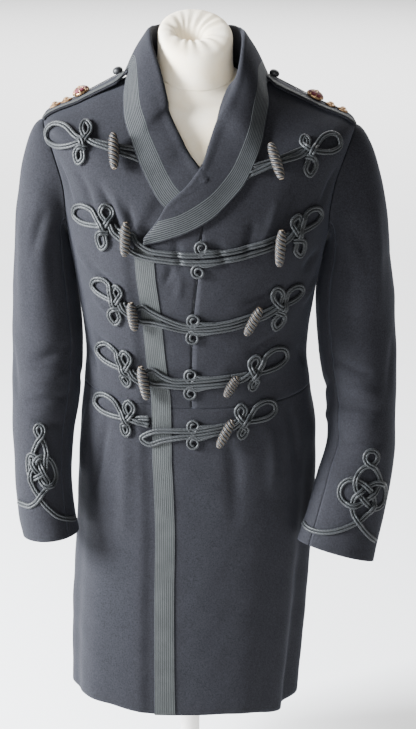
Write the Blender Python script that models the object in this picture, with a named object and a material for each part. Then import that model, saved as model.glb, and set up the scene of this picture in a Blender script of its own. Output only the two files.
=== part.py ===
"""Frock coat with frogged crossed fronts, standing on a limbless dress form.

Metres, +Z up, coat front toward -Y, origin on the floor under the stand.
The cloth is a function of t (turn round the body) and s (ring number).
"""
import math

import bmesh
import bpy
import numpy as np

# Cloth and trim sizes
CLOTH = 0.0022
SEAM = 0.0003
UNDER_STEP = 0.0042
BRAID_WIDTH = 0.029
BRAID_THICK = 0.0010
CORD_BAND = 0.0084
CORD_HIGH = 0.0040
TRIM_LIFT = 0.0009
STRAP_LIFT = 0.0012
CUFF_LIFT = 0.0014

# Rings of the body, hem to neck: heights at side, front and back,
# half width, depth in front and behind, middle in y and x, squareness.
RINGS = np.array((
    # side_z, front_z, back_z, half_width, front, back, mid_y, mid_x, square
    (0.201, 0.201, 0.195, 0.1880, 0.160, 0.170, 0.005, -0.011, 2.70),
    (0.370, 0.370, 0.365, 0.1930, 0.150, 0.158, 0.005, -0.004, 2.50),
    (0.530, 0.530, 0.528, 0.1930, 0.139, 0.145, 0.005, 0.004, 2.40),
    (0.640, 0.635, 0.642, 0.1900, 0.130, 0.132, 0.003, 0.006, 2.35),
    (0.722, 0.706, 0.735, 0.1800, 0.123, 0.118, 0.000, 0.003, 2.30),
    (0.775, 0.765, 0.785, 0.1755, 0.122, 0.110, -0.003, 0.001, 2.25),
    (0.855, 0.850, 0.860, 0.1840, 0.132, 0.112, -0.005, 0.000, 2.20),
    (0.920, 0.920, 0.930, 0.1950, 0.142, 0.120, -0.005, 0.000, 2.20),
    (0.965, 0.975, 0.990, 0.2040, 0.146, 0.128, -0.002, 0.000, 2.20),
    (1.045, 1.020, 1.070, 0.2200, 0.142, 0.130, 0.004, 0.000, 2.20),
    (1.127, 1.068, 1.138, 0.2400, 0.130, 0.122, 0.010, 0.000, 2.20),
    (1.160, 1.112, 1.178, 0.1850, 0.106, 0.102, 0.012, -0.002, 2.10),
    (1.184, 1.145, 1.206, 0.1300, 0.086, 0.082, 0.012, -0.005, 2.05),
    (1.205, 1.172, 1.222, 0.0770, 0.070, 0.062, 0.012, -0.008, 2.00),
))
WAIST, ARM_LOW, ARM_MID, ARM_TOP, NECK = 4.0, 8.0, 9.0, 10.0, 13.0
ARM_FRONT, ARM_BACK = 0.054, 0.078

# Lines on the cloth as (ring, turn) pairs.
FRONT_EDGE = ((0.0, -0.0230), (1.25, -0.0352), (2.85, -0.0497), (4.3, -0.0550), (5.24, -0.0636),
              (6.85, -0.0707), (7.80, -0.0712), (7.98, -0.0602), (8.60, -0.0408), (9.10, -0.0295),
              (9.63, -0.0116), (10.27, -0.0005), (10.85, 0.0088), (11.64, 0.0265), (12.39, 0.0583),
              (12.92, 0.1102), (13.0, 0.1180))
LAPEL_SEAM = ((4.0, -0.0036), (5.25, -0.0031), (6.15, -0.0013), (6.86, 0.0013), (8.40, 0.0050),
              (13.0, 0.0060))
UNDER_EDGE = ((0.0, 0.050), (7.8, 0.050), (8.6, 0.0408), (9.10, 0.0295), (9.63, 0.0116), (10.27, -0.0009),
              (10.585, -0.0073), (11.09, -0.0202), (12.06, -0.0520), (12.94, -0.1206), (13.0, -0.1260))
SIDE_SEAM = ((4.0, 0.268), (6.0, 0.262), (8.0, 0.250))
BACK_SEAM = ((0.0, 0.425), (2.0, 0.432), (4.0, 0.440), (5.0, 0.428), (6.5, 0.400), (8.0, 0.360),
             (8.6, 0.343), (9.0, 0.3298))

# How far the hem rises, by turn.
HEM_RISE = ((-0.30, 0.0), (-0.20, 0.006), (-0.14, 0.011), (-0.09, 0.010), (-0.05, 0.004), (-0.02, 0.0),
            (0.03, 0.001), (0.08, -0.002), (0.13, -0.010), (0.17, -0.013), (0.22, -0.004), (0.30, 0.0))

# Folds of the skirt: turn, half width in turns, depth at the hem.
FOLDS = ((0.178, 0.022, -0.014), (0.215, 0.020, 0.004), (0.262, 0.024, -0.008), (0.330, 0.026, -0.009),
         (0.395, 0.020, -0.006), (0.100, 0.030, -0.004), (-0.190, 0.026, -0.007), (-0.265, 0.024, -0.008),
         (-0.335, 0.024, -0.009), (-0.400, 0.020, -0.006), (-0.120, 0.024, 0.003), (0.040, 0.030, -0.003))

ARMHOLE_ROWS = tuple(ARM_MID - math.cos(math.radians(a)) for a in range(0, 181, 30))


def steady_slopes(table):
    """Slopes that keep a smooth curve from overshooting its table."""
    rise = np.diff(table, axis=0)
    slope = np.zeros_like(table)
    same = rise[:-1] * rise[1:] > 0
    mean = 2 * rise[:-1] * rise[1:] / np.where(same, rise[:-1] + rise[1:], 1)
    slope[1:-1] = np.where(same, mean, 0)
    slope[0] = rise[0]
    slope[-1] = rise[-1]
    return slope


RING_SLOPES = steady_slopes(RINGS)


def table_row(table, slopes, s):
    """Row s of a table, smooth between its rows."""
    i = min(max(int(math.floor(s)), 0), len(table) - 2)
    u = s - i
    return ((2 * u**3 - 3 * u**2 + 1) * table[i] + (u**3 - 2 * u**2 + u) * slopes[i]
            + (3 * u**2 - 2 * u**3) * table[i + 1] + (u**3 - u**2) * slopes[i + 1])


def along(line, s):
    """Turn of a line on the cloth at ring s."""
    rings = [row[0] for row in line]
    turns = [row[1] for row in line]
    return float(np.interp(s, rings, turns))


def fold_depth(t, s):
    """How far the skirt's folds move the cloth, growing toward the hem."""
    if s >= 3.6:
        return 0.0
    grow = ((3.6 - s) / 3.6) ** 1.2
    turn = (t + 0.5) % 1.0 - 0.5
    return grow * sum(depth * math.exp(-((turn - mid) / half) ** 2) for mid, half, depth in FOLDS)


def bare_point(t, s):
    """Point of the cloth's outer face before any move along its normal."""
    side_z, front_z, back_z, half, front, back, mid_y, mid_x, square = table_row(RINGS, RING_SLOPES, s)
    turn = 2 * math.pi * t
    c, q = math.cos(turn), math.sin(turn)
    x = mid_x + half * math.copysign(abs(q) ** (2 / square), q)
    y = mid_y - (front if c > 0 else back) * math.copysign(abs(c) ** (2 / square), c)
    z = side_z + ((front_z if c > 0 else back_z) - side_z) * c * c
    if s < 1.5:
        z += along(HEM_RISE, (t + 0.5) % 1.0 - 0.5) * (1 - s / 1.5) ** 2
    return np.array((x, y, z))


def normal_of(point, u, v, low, high):
    """Unit normal of a two-parameter surface."""
    du = point(u + 1e-3, v) - point(u - 1e-3, v)
    dv = point(u, min(v + 0.02, high)) - point(u, max(v - 0.02, low))
    n = np.cross(du, dv)
    return n / np.linalg.norm(n)


def body_point(t, s, out=0.0):
    """Point of the cloth, moved out along its normal."""
    move = out + fold_depth(t, s)
    p = bare_point(t, s)
    if move:
        p = p + move * normal_of(bare_point, t, s, 0.0, NECK)
    return p


def under_out(t, s):
    """The right front steps in where the left front lies over it."""
    inside = (t - along(FRONT_EDGE, s) + 0.020) / 0.016
    u = min(max(inside, 0.0), 1.0)
    return -UNDER_STEP * u * u * (3 - 2 * u)


def armhole_edge(s, front):
    """Turn of the armhole's edge at ring s."""
    reach = math.sqrt(max(0.0, 1 - (s - ARM_MID) ** 2))
    return 0.25 - ARM_FRONT * reach if front else 0.25 + ARM_BACK * reach


# Shared makers
def make_collection(name):
    group = bpy.data.collections.new(name)
    bpy.context.scene.collection.children.link(group)
    return group


def make_material(name, colour, rough, metal=0.0):
    mat = bpy.data.materials.new(name)
    mat.use_nodes = True
    shader = mat.node_tree.nodes["Principled BSDF"]
    shader.inputs["Base Color"].default_value = (*colour, 1)
    shader.inputs["Roughness"].default_value = rough
    shader.inputs["Metallic"].default_value = metal
    mat.diffuse_color = (*colour, 1)
    return mat


def finish(name, bm, group, mat):
    bmesh.ops.recalc_face_normals(bm, faces=bm.faces)
    bmesh.ops.triangulate(bm, faces=bm.faces)
    if bm.calc_volume(signed=True) < 0:
        bmesh.ops.reverse_faces(bm, faces=bm.faces)
    mesh = bpy.data.meshes.new(name)
    bm.to_mesh(mesh)
    bm.free()
    mesh.materials.append(mat)
    obj = bpy.data.objects.new(name, mesh)
    group.objects.link(obj)
    for poly in mesh.polygons:
        poly.use_smooth = True
    return obj


def slab(name, columns, rows, place, group, mat):
    """Closed sheet: place(i, j, layer) gives each corner, layer 0 outside."""
    bm = bmesh.new()
    bmesh.ops.create_grid(bm, x_segments=columns, y_segments=rows, size=1.0)
    made = bmesh.ops.extrude_face_region(bm, geom=bm.faces[:], use_keep_orig=True)
    inner = {v for v in made["geom"] if isinstance(v, bmesh.types.BMVert)}
    spots = {}
    for v in bm.verts:
        i = round((v.co.x + 1) / 2 * columns)
        j = round((v.co.y + 1) / 2 * rows)
        spots[v] = (i, j, 1 if v in inner else 0)
    for v, (i, j, layer) in spots.items():
        v.co = place(i, j, layer)
    return finish(name, bm, group, mat)


def loft(name, sections, group, mat):
    """Closed solid through rings of equal count, flat at both ends."""
    bm = bmesh.new()
    loops = [[bm.verts.new(p) for p in ring] for ring in sections]
    count = len(loops[0])
    for low, high in zip(loops, loops[1:]):
        for k in range(count):
            n = (k + 1) % count
            bm.faces.new((low[k], low[n], high[n], high[k]))
    bm.faces.new(loops[0][::-1])
    bm.faces.new(loops[-1])
    return finish(name, bm, group, mat)


# Body panels
def panel(name, columns, rings, left, right, shape, group, mat):
    """Panel between two lines, left(s) and right(s), through the given rings."""
    def place(i, j, layer):
        s = rings[j]
        t = left(s) + (right(s) - left(s)) * i / columns
        out = shape(t, s) - (CLOTH if layer else 0.0)
        return body_point(t, s, out)
    return slab(name, columns, len(rings) - 1, place, group, mat)


def trim_rings(rings, low, high):
    """Rings with the end rows drawn in by half a seam."""
    step = 0.003
    return tuple([low + step] + [s for s in rings if low + 0.05 < s < high - 0.05] + [high - step])


TORSO_ROWS = (4.5, 5.0, 5.5, 6.0, 6.5, 7.0, 7.5) + ARMHOLE_ROWS + (10.5, 11.0, 11.5, 12.0, 12.5)
SKIRT_ROWS = (0.7, 1.4, 2.1, 2.8, 3.4)
GAP = 0.00025


def flat(t, s):
    return 0.0


def side_edge(s, side_line):
    """Outer edge of a forepart: side seam, armhole, then shoulder seam."""
    if s < ARM_LOW:
        return along(side_line, s) - GAP
    if s < ARM_TOP:
        return armhole_edge(s, True) - GAP
    return 0.25 - GAP


def build_fronts(group, cloth):
    torso = trim_rings(TORSO_ROWS, WAIST, NECK)
    lapel_top = ARM_TOP

    def forepart_inner(s):
        seam = along(LAPEL_SEAM, s) + GAP
        return seam if s < lapel_top + 0.1 else along(FRONT_EDGE, s)

    panel("forepart_left", 7, torso, forepart_inner, lambda s: side_edge(s, SIDE_SEAM), flat, group, cloth)
    lapel = trim_rings(tuple(s for s in TORSO_ROWS if s < ARM_TOP) + (7.78,), WAIST, lapel_top)
    lapel = tuple(sorted(set(lapel)))
    panel("lapel_left", 3, lapel, lambda s: along(FRONT_EDGE, s), lambda s: along(LAPEL_SEAM, s) - GAP,
          flat, group, cloth)
    panel("forepart_right", 9, torso, lambda s: -side_edge(s, SIDE_SEAM), lambda s: along(UNDER_EDGE, s),
          under_out, group, cloth)


def build_backs(group, cloth):
    low = tuple(s for s in TORSO_ROWS if s <= ARM_MID)
    rings = trim_rings(low, WAIST, ARM_MID)
    whole = (0.003,) + SKIRT_ROWS + (4.0,) + TORSO_ROWS + (NECK - 0.003,)

    def back_edge(s):
        if s <= ARM_MID:
            return along(BACK_SEAM, s)
        return armhole_edge(s, False) if s < ARM_TOP else 0.25

    def side_back(s):
        front = along(SIDE_SEAM, s) if s < ARM_LOW else armhole_edge(s, False)
        return front + GAP

    for side, word in ((1, "left"), (-1, "right")):
        panel(f"side_body_{word}", 4, rings, lambda s: side * side_back(s),
              lambda s: side * (along(BACK_SEAM, s) - GAP), flat, group, cloth)
        panel(f"back_{word}", 6, whole, lambda s: side * (back_edge(s) + GAP),
              lambda s: side * (0.5 - GAP), flat, group, cloth)


def build_skirts(group, cloth):
    rings = (0.0,) + SKIRT_ROWS + (WAIST - 0.003,)
    panel("skirt_left", 16, rings, lambda s: along(FRONT_EDGE, s), lambda s: along(BACK_SEAM, s) - GAP,
          flat, group, cloth)
    panel("skirt_right", 16, rings, lambda s: GAP - along(BACK_SEAM, s), lambda s: along(UNDER_EDGE, s),
          under_out, group, cloth)


# Sleeve rings, biceps to cuff: z, mid_x, mid_y, half_x, half_y, and the ring's lean in x and y
SLEEVE_TABLES = {
    "left": np.array((
        (0.930, 0.2500, 0.010, 0.0470, 0.076, 0.00, 0.00),
        (0.855, 0.2520, 0.006, 0.0580, 0.074, 0.00, 0.00),
        (0.775, 0.2570, -0.006, 0.0600, 0.070, -0.02, -0.10),
        (0.700, 0.2640, -0.022, 0.0540, 0.066, -0.05, -0.25),
        (0.638, 0.2660, -0.042, 0.0520, 0.060, -0.10, -0.32),
        (0.573, 0.2540, -0.066, 0.0560, 0.050, -0.22, -0.36),
        (0.515, 0.2400, -0.084, 0.0570, 0.042, -0.26, -0.36),
        (0.462, 0.2270, -0.102, 0.0590, 0.036, -0.28, -0.36),
    )),
    "right": np.array((
        (0.930, 0.2440, 0.010, 0.0400, 0.076, 0.00, 0.00),
        (0.855, 0.2400, 0.006, 0.0480, 0.074, 0.00, 0.00),
        (0.775, 0.2370, -0.006, 0.0515, 0.070, 0.00, -0.10),
        (0.700, 0.2385, -0.022, 0.0500, 0.066, 0.00, -0.25),
        (0.638, 0.2400, -0.042, 0.0465, 0.060, 0.00, -0.32),
        (0.573, 0.2380, -0.066, 0.0425, 0.054, -0.10, -0.36),
        (0.520, 0.2320, -0.084, 0.0425, 0.050, -0.10, -0.36),
        (0.474, 0.2240, -0.100, 0.0415, 0.048, -0.08, -0.36),
    )),
}
SLEEVE_SLOPES = {word: steady_slopes(table) for word, table in SLEEVE_TABLES.items()}
HEAD = 3.0
SLEEVE_END = HEAD + 7.0
FOREARM_SEAM, ELBOW_SEAM = 0.12, 0.80


def armhole_point(side, psi, shrink=0.970):
    """Armhole edge as a loop: psi 0 below, a quarter in front, a half on top."""
    q = math.sin(2 * math.pi * psi)
    reach = ARM_FRONT * q if q > 0 else ARM_BACK * q
    return body_point(side * (0.25 - shrink * reach), ARM_MID - shrink * math.cos(2 * math.pi * psi))


def sleeve_ring_point(word, psi, row):
    side = 1 if word == "left" else -1
    z, mid_x, mid_y, half_x, half_y, lean_x, lean_y = table_row(SLEEVE_TABLES[word], SLEEVE_SLOPES[word], row)
    dx = -half_x * math.cos(2 * math.pi * psi)
    dy = -half_y * math.sin(2 * math.pi * psi)
    return np.array((side * (mid_x + dx), mid_y + dy, z + lean_x * dx + lean_y * dy))


def bare_sleeve(word, psi, v):
    """Sleeve face: a bent head over the first three rings, then the arm."""
    if v >= HEAD:
        return sleeve_ring_point(word, psi, v - HEAD)
    side = 1 if word == "left" else -1
    start = armhole_point(side, psi)
    end = sleeve_ring_point(word, psi, 0.0)
    high = 0.5 - 0.5 * math.cos(2 * math.pi * psi)
    top = max(0.0, high - 0.5) * 2
    out_dir = np.array((side, 0.0, 0.12 * top))
    first = start + out_dir * (0.012 + 0.018 * high)
    last = end + np.array((0.0, 0.0, 1.0)) * (0.010 + 0.048 * high)
    u = v / HEAD
    w = 1 - u
    return w**3 * start + 3 * w * w * u * first + 3 * w * u * u * last + u**3 * end


def sleeve_point(word, psi, v, out=0.0):
    p = bare_sleeve(word, psi, v)
    if out:
        face = lambda a, b: bare_sleeve(word, a, b)
        n = normal_of(face, psi, v, 0.0, SLEEVE_END)
        centre = face(psi + 0.5, v)
        if np.dot(n, p - centre) < 0:
            n = -n
        p = p + out * n
    return p


SLEEVE_ROWS = (0.0, 0.55, 1.1, 1.7, 2.35, 3.0, 4.0, 5.0, 6.0, 7.0, 8.0, 9.0, 10.0)


def build_sleeves(group, cloth):
    gap = 0.0006
    parts = (("top", 10, FOREARM_SEAM + gap, ELBOW_SEAM - gap),
             ("under", 6, ELBOW_SEAM - 1 + gap, FOREARM_SEAM - gap))
    for word in ("left", "right"):
        for kind, columns, low, high in parts:
            def place(i, j, layer):
                psi = low + (high - low) * i / columns
                return sleeve_point(word, psi, SLEEVE_ROWS[j], -CLOTH if layer else 0.0)
            slab(f"{kind}_sleeve_{word}", columns, len(SLEEVE_ROWS) - 1, place, group, cloth)


# Collar stations, centre back to front end.
# Base and edge are (turn, ring) on the body; the roll is a point, or a (turn, ring) on the body.
COLLAR_LEFT = (
    ((0.4975, 13.0), (-0.0066, 0.084, 1.270), (0.4980, 12.0)),
    ((0.440, 13.0), (0.026, 0.079, 1.270), (0.440, 12.0)),
    ((0.370, 13.0), (0.050, 0.058, 1.270), (0.370, 11.9)),
    ((0.305, 13.0), (0.0625, 0.030, 1.268), (0.300, 12.25)),
    ((0.250, 13.0), (0.0655, 0.002, 1.262), (0.245, 12.38)),
    ((0.195, 13.0), (0.0640, -0.026, 1.243), (0.192, 12.32)),
    ((0.150, 13.0), (0.0600, -0.046, 1.216), (0.140, 11.85)),
    ((0.1080, 12.92), (0.0520, -0.062, 1.186), (0.0980, 11.25)),
    ((0.0583, 12.39), (0.0400, -0.077, 1.163), (0.0720, 10.68)),
    ((0.0265, 11.64), (0.0265, 11.64), (0.0529, 10.21)),
    ((0.0088, 10.85), (0.0088, 10.85), (0.0407, 9.58)),
    ((-0.0005, 10.27), (-0.0005, 10.27), (0.0228, 8.97)),
    ((-0.0116, 9.63), (-0.0116, 9.63), (0.0110, 8.62)),
    ((-0.0295, 9.10), (-0.0295, 9.10), (-0.0060, 8.26)),
    ((-0.0408, 8.60), (-0.0408, 8.60), (-0.0319, 7.99)),
    ((-0.0590, 8.02), (-0.0590, 8.02), (-0.0580, 7.85)),
)
COLLAR_RIGHT = (
    ((-0.4975, 13.0), (-0.0094, 0.084, 1.270), (-0.4980, 12.0)),
    ((-0.440, 13.0), (-0.042, 0.079, 1.270), (-0.440, 12.0)),
    ((-0.370, 13.0), (-0.066, 0.058, 1.270), (-0.370, 11.9)),
    ((-0.305, 13.0), (-0.0775, 0.030, 1.268), (-0.300, 12.25)),
    ((-0.250, 13.0), (-0.0800, 0.002, 1.262), (-0.245, 12.38)),
    ((-0.200, 13.0), (-0.0780, -0.024, 1.243), (-0.197, 12.28)),
    ((-0.155, 13.0), (-0.0730, -0.046, 1.218), (-0.150, 11.88)),
    ((-0.1206, 12.90), (-0.0640, -0.062, 1.190), (-0.108, 11.26)),
    ((-0.0800, 12.50), (-0.0520, -0.076, 1.168), (-0.084, 10.85)),
    ((-0.0520, 12.06), (-0.0520, 12.06), (-0.0660, 10.50)),
    ((-0.0202, 11.09), (-0.0202, 11.09), (-0.0505, 10.00)),
    ((-0.0100, 10.66), (-0.0100, 10.66), (-0.0430, 9.55)),
    ((-0.0170, 10.34), (-0.0170, 10.34), (-0.0400, 9.20)),
)
FALL_STEPS = 5
FALL_LOW, FALL_HIGH = 0.0032, 0.0065


def collar_section(base, roll, edge, side):
    """Points from the neck seam over the roll to the outer edge."""
    e = body_point(*edge, out=FALL_LOW)
    if len(roll) == 3:
        r = np.array(roll)
        b = body_point(*base, out=0.002) + np.array((0.0, 0.0, 0.0035))
        stand = [b, b * 0.5 + r * 0.5]
    else:
        shift = 0.0045
        r = body_point(roll[0] - side * shift, roll[1], out=FALL_HIGH)
        b = body_point(roll[0] - side * shift, roll[1], out=-0.0005)
        stand = [b, b * 0.5 + r * 0.5]
    width = np.linalg.norm(e - r)
    braid_from = max(0.10, 1 - BRAID_WIDTH / width)
    parts = [0.0, braid_from * 0.33, braid_from * 0.66, braid_from, (1 + braid_from) / 2, 1.0]
    n = normal_of(bare_point, edge[0], min(edge[1], 12.9), 0.0, NECK)
    puff = 0.004 if len(roll) == 3 else 0.0025
    fall = []
    for part in parts:
        rise = puff * math.sin(math.pi * 1.1 * part) if part < 0.91 else 0.0
        fall.append(r + (e - r) * part + n * rise)
    return stand + fall


def collar_grid(stations, side, steps=2):
    """Finer stations by smooth interpolation of the sections."""
    rows = np.array([collar_section(*row, side) for row in stations])
    slopes = np.zeros_like(rows)
    slopes[1:-1] = (rows[2:] - rows[:-2]) / 2
    slopes[0] = rows[1] - rows[0]
    slopes[-1] = rows[-1] - rows[-2]
    fine = []
    for k in range((len(rows) - 1) * steps + 1):
        fine.append(table_row(rows, slopes, k / steps))
    return np.array(fine)


def grid_normals(grid):
    du = np.gradient(grid, axis=0)
    dv = np.gradient(grid, axis=1)
    n = np.cross(du, dv)
    return n / np.linalg.norm(n, axis=2, keepdims=True)


def build_collars(group, cloth, braid):
    for word, side, table in (("left", 1, COLLAR_LEFT), ("right", -1, COLLAR_RIGHT)):
        grid = collar_grid(table, side, 1)
        n = grid_normals(grid) * side
        last = grid.shape[1] - 1

        def place(i, j, layer):
            return grid[j, i] - n[j, i] * (CLOTH if layer else 0.0)
        slab(f"collar_{word}", last, len(grid) - 1, place, group, cloth)

        def place_braid(i, j, layer):
            k = last - 2 + i
            lift = SEAM + (0.0 if layer else BRAID_THICK)
            return grid[j, k] + n[j, k] * lift
        slab(f"collar_braid_{word}", 2, len(grid) - 1, place_braid, group, braid)


# Finding a place on the front from its x and z
SEED_TURNS = np.linspace(-0.245, 0.245, 50)
SEED_RINGS = np.linspace(0.0, 12.9, 66)
SEEDS = np.array([[bare_point(t, s)[[0, 2]] for s in SEED_RINGS] for t in SEED_TURNS])


def solve_place(point, seeds, us, vs, x, z, v_low, v_high):
    """Surface parameters whose point has this x and z."""
    away = np.hypot(seeds[..., 0] - x, seeds[..., 1] - z)
    i, j = np.unravel_index(away.argmin(), away.shape)
    u, v = us[i], vs[j]
    for _ in range(12):
        p = point(u, v)[[0, 2]]
        du = (point(u + 1e-4, v)[[0, 2]] - p) / 1e-4
        dv = (point(u, v + 1e-4)[[0, 2]] - p) / 1e-4
        miss = np.array((x, z)) - p
        if np.abs(miss).max() < 1e-5:
            break
        step = np.linalg.solve(np.stack((du, dv), axis=1), miss)
        u += min(max(step[0], -0.02), 0.02)
        v = min(max(v + min(max(step[1], -0.4), 0.4), v_low), v_high)
    return u, v


def front_place(x, z):
    return solve_place(bare_point, SEEDS, SEED_TURNS, SEED_RINGS, x, z, 0.0, 12.9)


def front_point(x, z, out):
    t, s = front_place(x, z)
    return body_point(t, s, out)


# Flat paths and the ribbons made from them
def smooth_path(points, step=0.0012):
    """Dense smooth path through control points."""
    pts = np.array(points, float)
    slope = np.zeros_like(pts)
    slope[1:-1] = (pts[2:] - pts[:-2]) / 2
    slope[0] = pts[1] - pts[0]
    slope[-1] = pts[-1] - pts[-2]
    dense = []
    for k in range(len(pts) - 1):
        count = max(2, int(np.linalg.norm(pts[k + 1] - pts[k]) / step))
        dense += [table_row(pts, slope, k + n / count) for n in range(count)]
    dense.append(pts[-1])
    return np.array(dense)


def thin_path(dense, turn_limit=math.radians(42), length_limit=0.018):
    """Keep the points where the path has turned or run far enough."""
    keep = [0]
    turned = 0.0
    run = 0.0
    for k in range(1, len(dense) - 1):
        a = dense[k] - dense[k - 1]
        b = dense[k + 1] - dense[k]
        turned += abs(math.atan2(a[0] * b[1] - a[1] * b[0], a[0] * b[0] + a[1] * b[1]))
        run += float(np.linalg.norm(a))
        if turned > turn_limit or run > length_limit:
            keep.append(k)
            turned = 0.0
            run = 0.0
    if len(dense) - 1 - keep[-1] < 3:
        keep.pop()
    keep.append(len(dense) - 1)
    return dense[keep]


def clear_reach(path, k):
    """Half the way from point k of a path to the path's other stretches."""
    near = np.inf
    for j in range(len(path) - 1):
        if k - 3 < j < k + 2:
            continue
        leg = path[j + 1] - path[j]
        share = min(max(np.dot(path[k] - path[j], leg) / np.dot(leg, leg), 0.0), 1.0)
        near = min(near, np.linalg.norm(path[j] + share * leg - path[k]))
    return 0.46 * near


def band_edges(path, width):
    """Both edges of a band along a flat path, drawn in where they would fold or meet."""
    ahead = np.gradient(path, axis=0)
    ahead /= np.linalg.norm(ahead, axis=1, keepdims=True)
    across = np.stack((-ahead[:, 1], ahead[:, 0]), axis=1)
    reach = np.array([min(width / 2, clear_reach(path, k)) for k in range(len(path))])
    reach = np.stack((-reach, reach))
    legs = np.diff(path, axis=0)
    for _ in range(60):
        edges = path + across * reach[..., None]
        folded = (np.diff(edges, axis=1) * legs).sum(axis=2) < 0.2 * (legs * legs).sum(axis=1)
        if not folded.any():
            break
        for side, k in np.argwhere(folded):
            reach[side, k:k + 2] *= 0.93
    return edges


def ribbon(name, path, width, place, lift, high, group, mat):
    """Flat cord band along an (x, z) path, set on a surface by place(x, z, out)."""
    edges = band_edges(path, width)

    def corner(i, j, layer):
        x, z = edges[i, j]
        return place(x, z, lift(x, z) + (0.0 if layer else high))
    return slab(name, 1, len(path) - 1, corner, group, mat)


# Frog knots: name, crossing, loop tip, loop half width, upper and lower curl centres, upper and lower ends
KNOTS = (
    ("right_1", (-0.182, 1.1105), (-0.2235, 1.108), 0.0150, (-0.1715, 1.1300), (-0.1780, 1.0880),
     (-0.1060, 1.1030), (-0.1030, 1.0915)),
    ("right_2", (-0.144, 0.9890), (-0.1860, 0.998), 0.0140, (-0.1380, 1.0100), (-0.1423, 0.9650),
     (-0.1120, 0.9810), (-0.1120, 0.9690)),
    ("right_3", (-0.125, 0.8690), (-0.1570, 0.893), 0.0110, (-0.1200, 0.8890), (-0.1247, 0.8457),
     (-0.1010, 0.8625), (-0.1000, 0.8505)),
    ("right_4", (-0.112, 0.7585), (-0.1510, 0.785), 0.0110, (-0.1080, 0.7790), (-0.1065, 0.7390),
     (-0.0840, 0.7540), (-0.0830, 0.7425)),
    ("right_5", (-0.108, 0.6830), (-0.1540, 0.702), 0.0110, (-0.1021, 0.7030), (-0.1064, 0.6630),
     (-0.0710, 0.6880), (-0.0710, 0.6765)),
    ("left_1", (0.1690, 1.1000), (0.2100, 1.108), 0.0140, (0.1580, 1.1192), (0.1660, 1.0800),
     (0.0930, 1.0830), (0.0880, 1.0715)),
    ("left_2", (0.1518, 0.9770), (0.1870, 1.003), 0.0120, (0.1480, 0.9985), (0.1554, 0.9540),
     (0.1205, 0.9750), (0.1205, 0.9630)),
    ("left_3", (0.1310, 0.8640), (0.1640, 0.889), 0.0105, (0.1230, 0.8845), (0.1280, 0.8415),
     (0.0860, 0.8525), (0.0860, 0.8410)),
    ("left_4", (0.0954, 0.7600), (0.1410, 0.784), 0.0105, (0.0900, 0.7805), (0.0950, 0.7400),
     (0.0575, 0.7510), (0.0575, 0.7395)),
    ("left_5", (0.0785, 0.6830), (0.1260, 0.703), 0.0105, (0.0720, 0.7030), (0.0770, 0.6630),
     (0.0480, 0.6740), (0.0480, 0.6625)),
)
CURL = 0.0078


def curl_points(centre, crossing, sign):
    """Three points round a curl, met from the side given by sign."""
    c = np.array(centre)
    up = c - np.array(crossing)
    up /= np.linalg.norm(up)
    side = np.array((up[1], -up[0])) * sign
    return [c + side * CURL, c + up * CURL, c - side * CURL]


def knot_path(crossing, tip, half, upper, lower, upper_end, lower_end):
    c = np.array(crossing)
    t = np.array(tip)
    axis = (t - c) / np.linalg.norm(t - c)
    turn = 1.0 if t[0] < c[0] else -1.0
    wide = np.array((axis[1], -axis[0])) * turn
    reach = np.linalg.norm(t - c)
    inward = np.array((1.0 if t[0] < c[0] else -1.0, 0.0))
    rise = np.array((0.0, 0.0058))
    loop_top = c + axis * reach * 0.62 - wide * half
    loop_low = c + axis * reach * 0.62 + wide * half
    if loop_top[1] < loop_low[1]:
        loop_top, loop_low = loop_low, loop_top
    points = [upper_end, c + inward * 0.0085 + rise]
    points += curl_points(upper, crossing, turn)
    points += [c - inward * 0.0075 + rise, loop_top, t, loop_low, c - inward * 0.0075 - rise]
    points += curl_points(lower, crossing, turn)
    points += [c + inward * 0.0085 - rise, lower_end]
    return thin_path(smooth_path(points))


def knot_lift(x, z):
    """Knots clear the tighter curve of the cloth near the shoulder."""
    high = min(max((z - 1.03) / 0.03, 0.0), 1.0)
    outer = min(max((abs(x) - 0.19) / 0.02, 0.0), 1.0)
    return TRIM_LIFT + 0.0005 * high + 0.0009 * high * outer


def build_knots(group, cord):
    for name, *row in KNOTS:
        path = knot_path(*row)
        ribbon(f"frog_knot_{name}", path, CORD_BAND, front_point, knot_lift, CORD_HIGH, group, cord)


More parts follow.
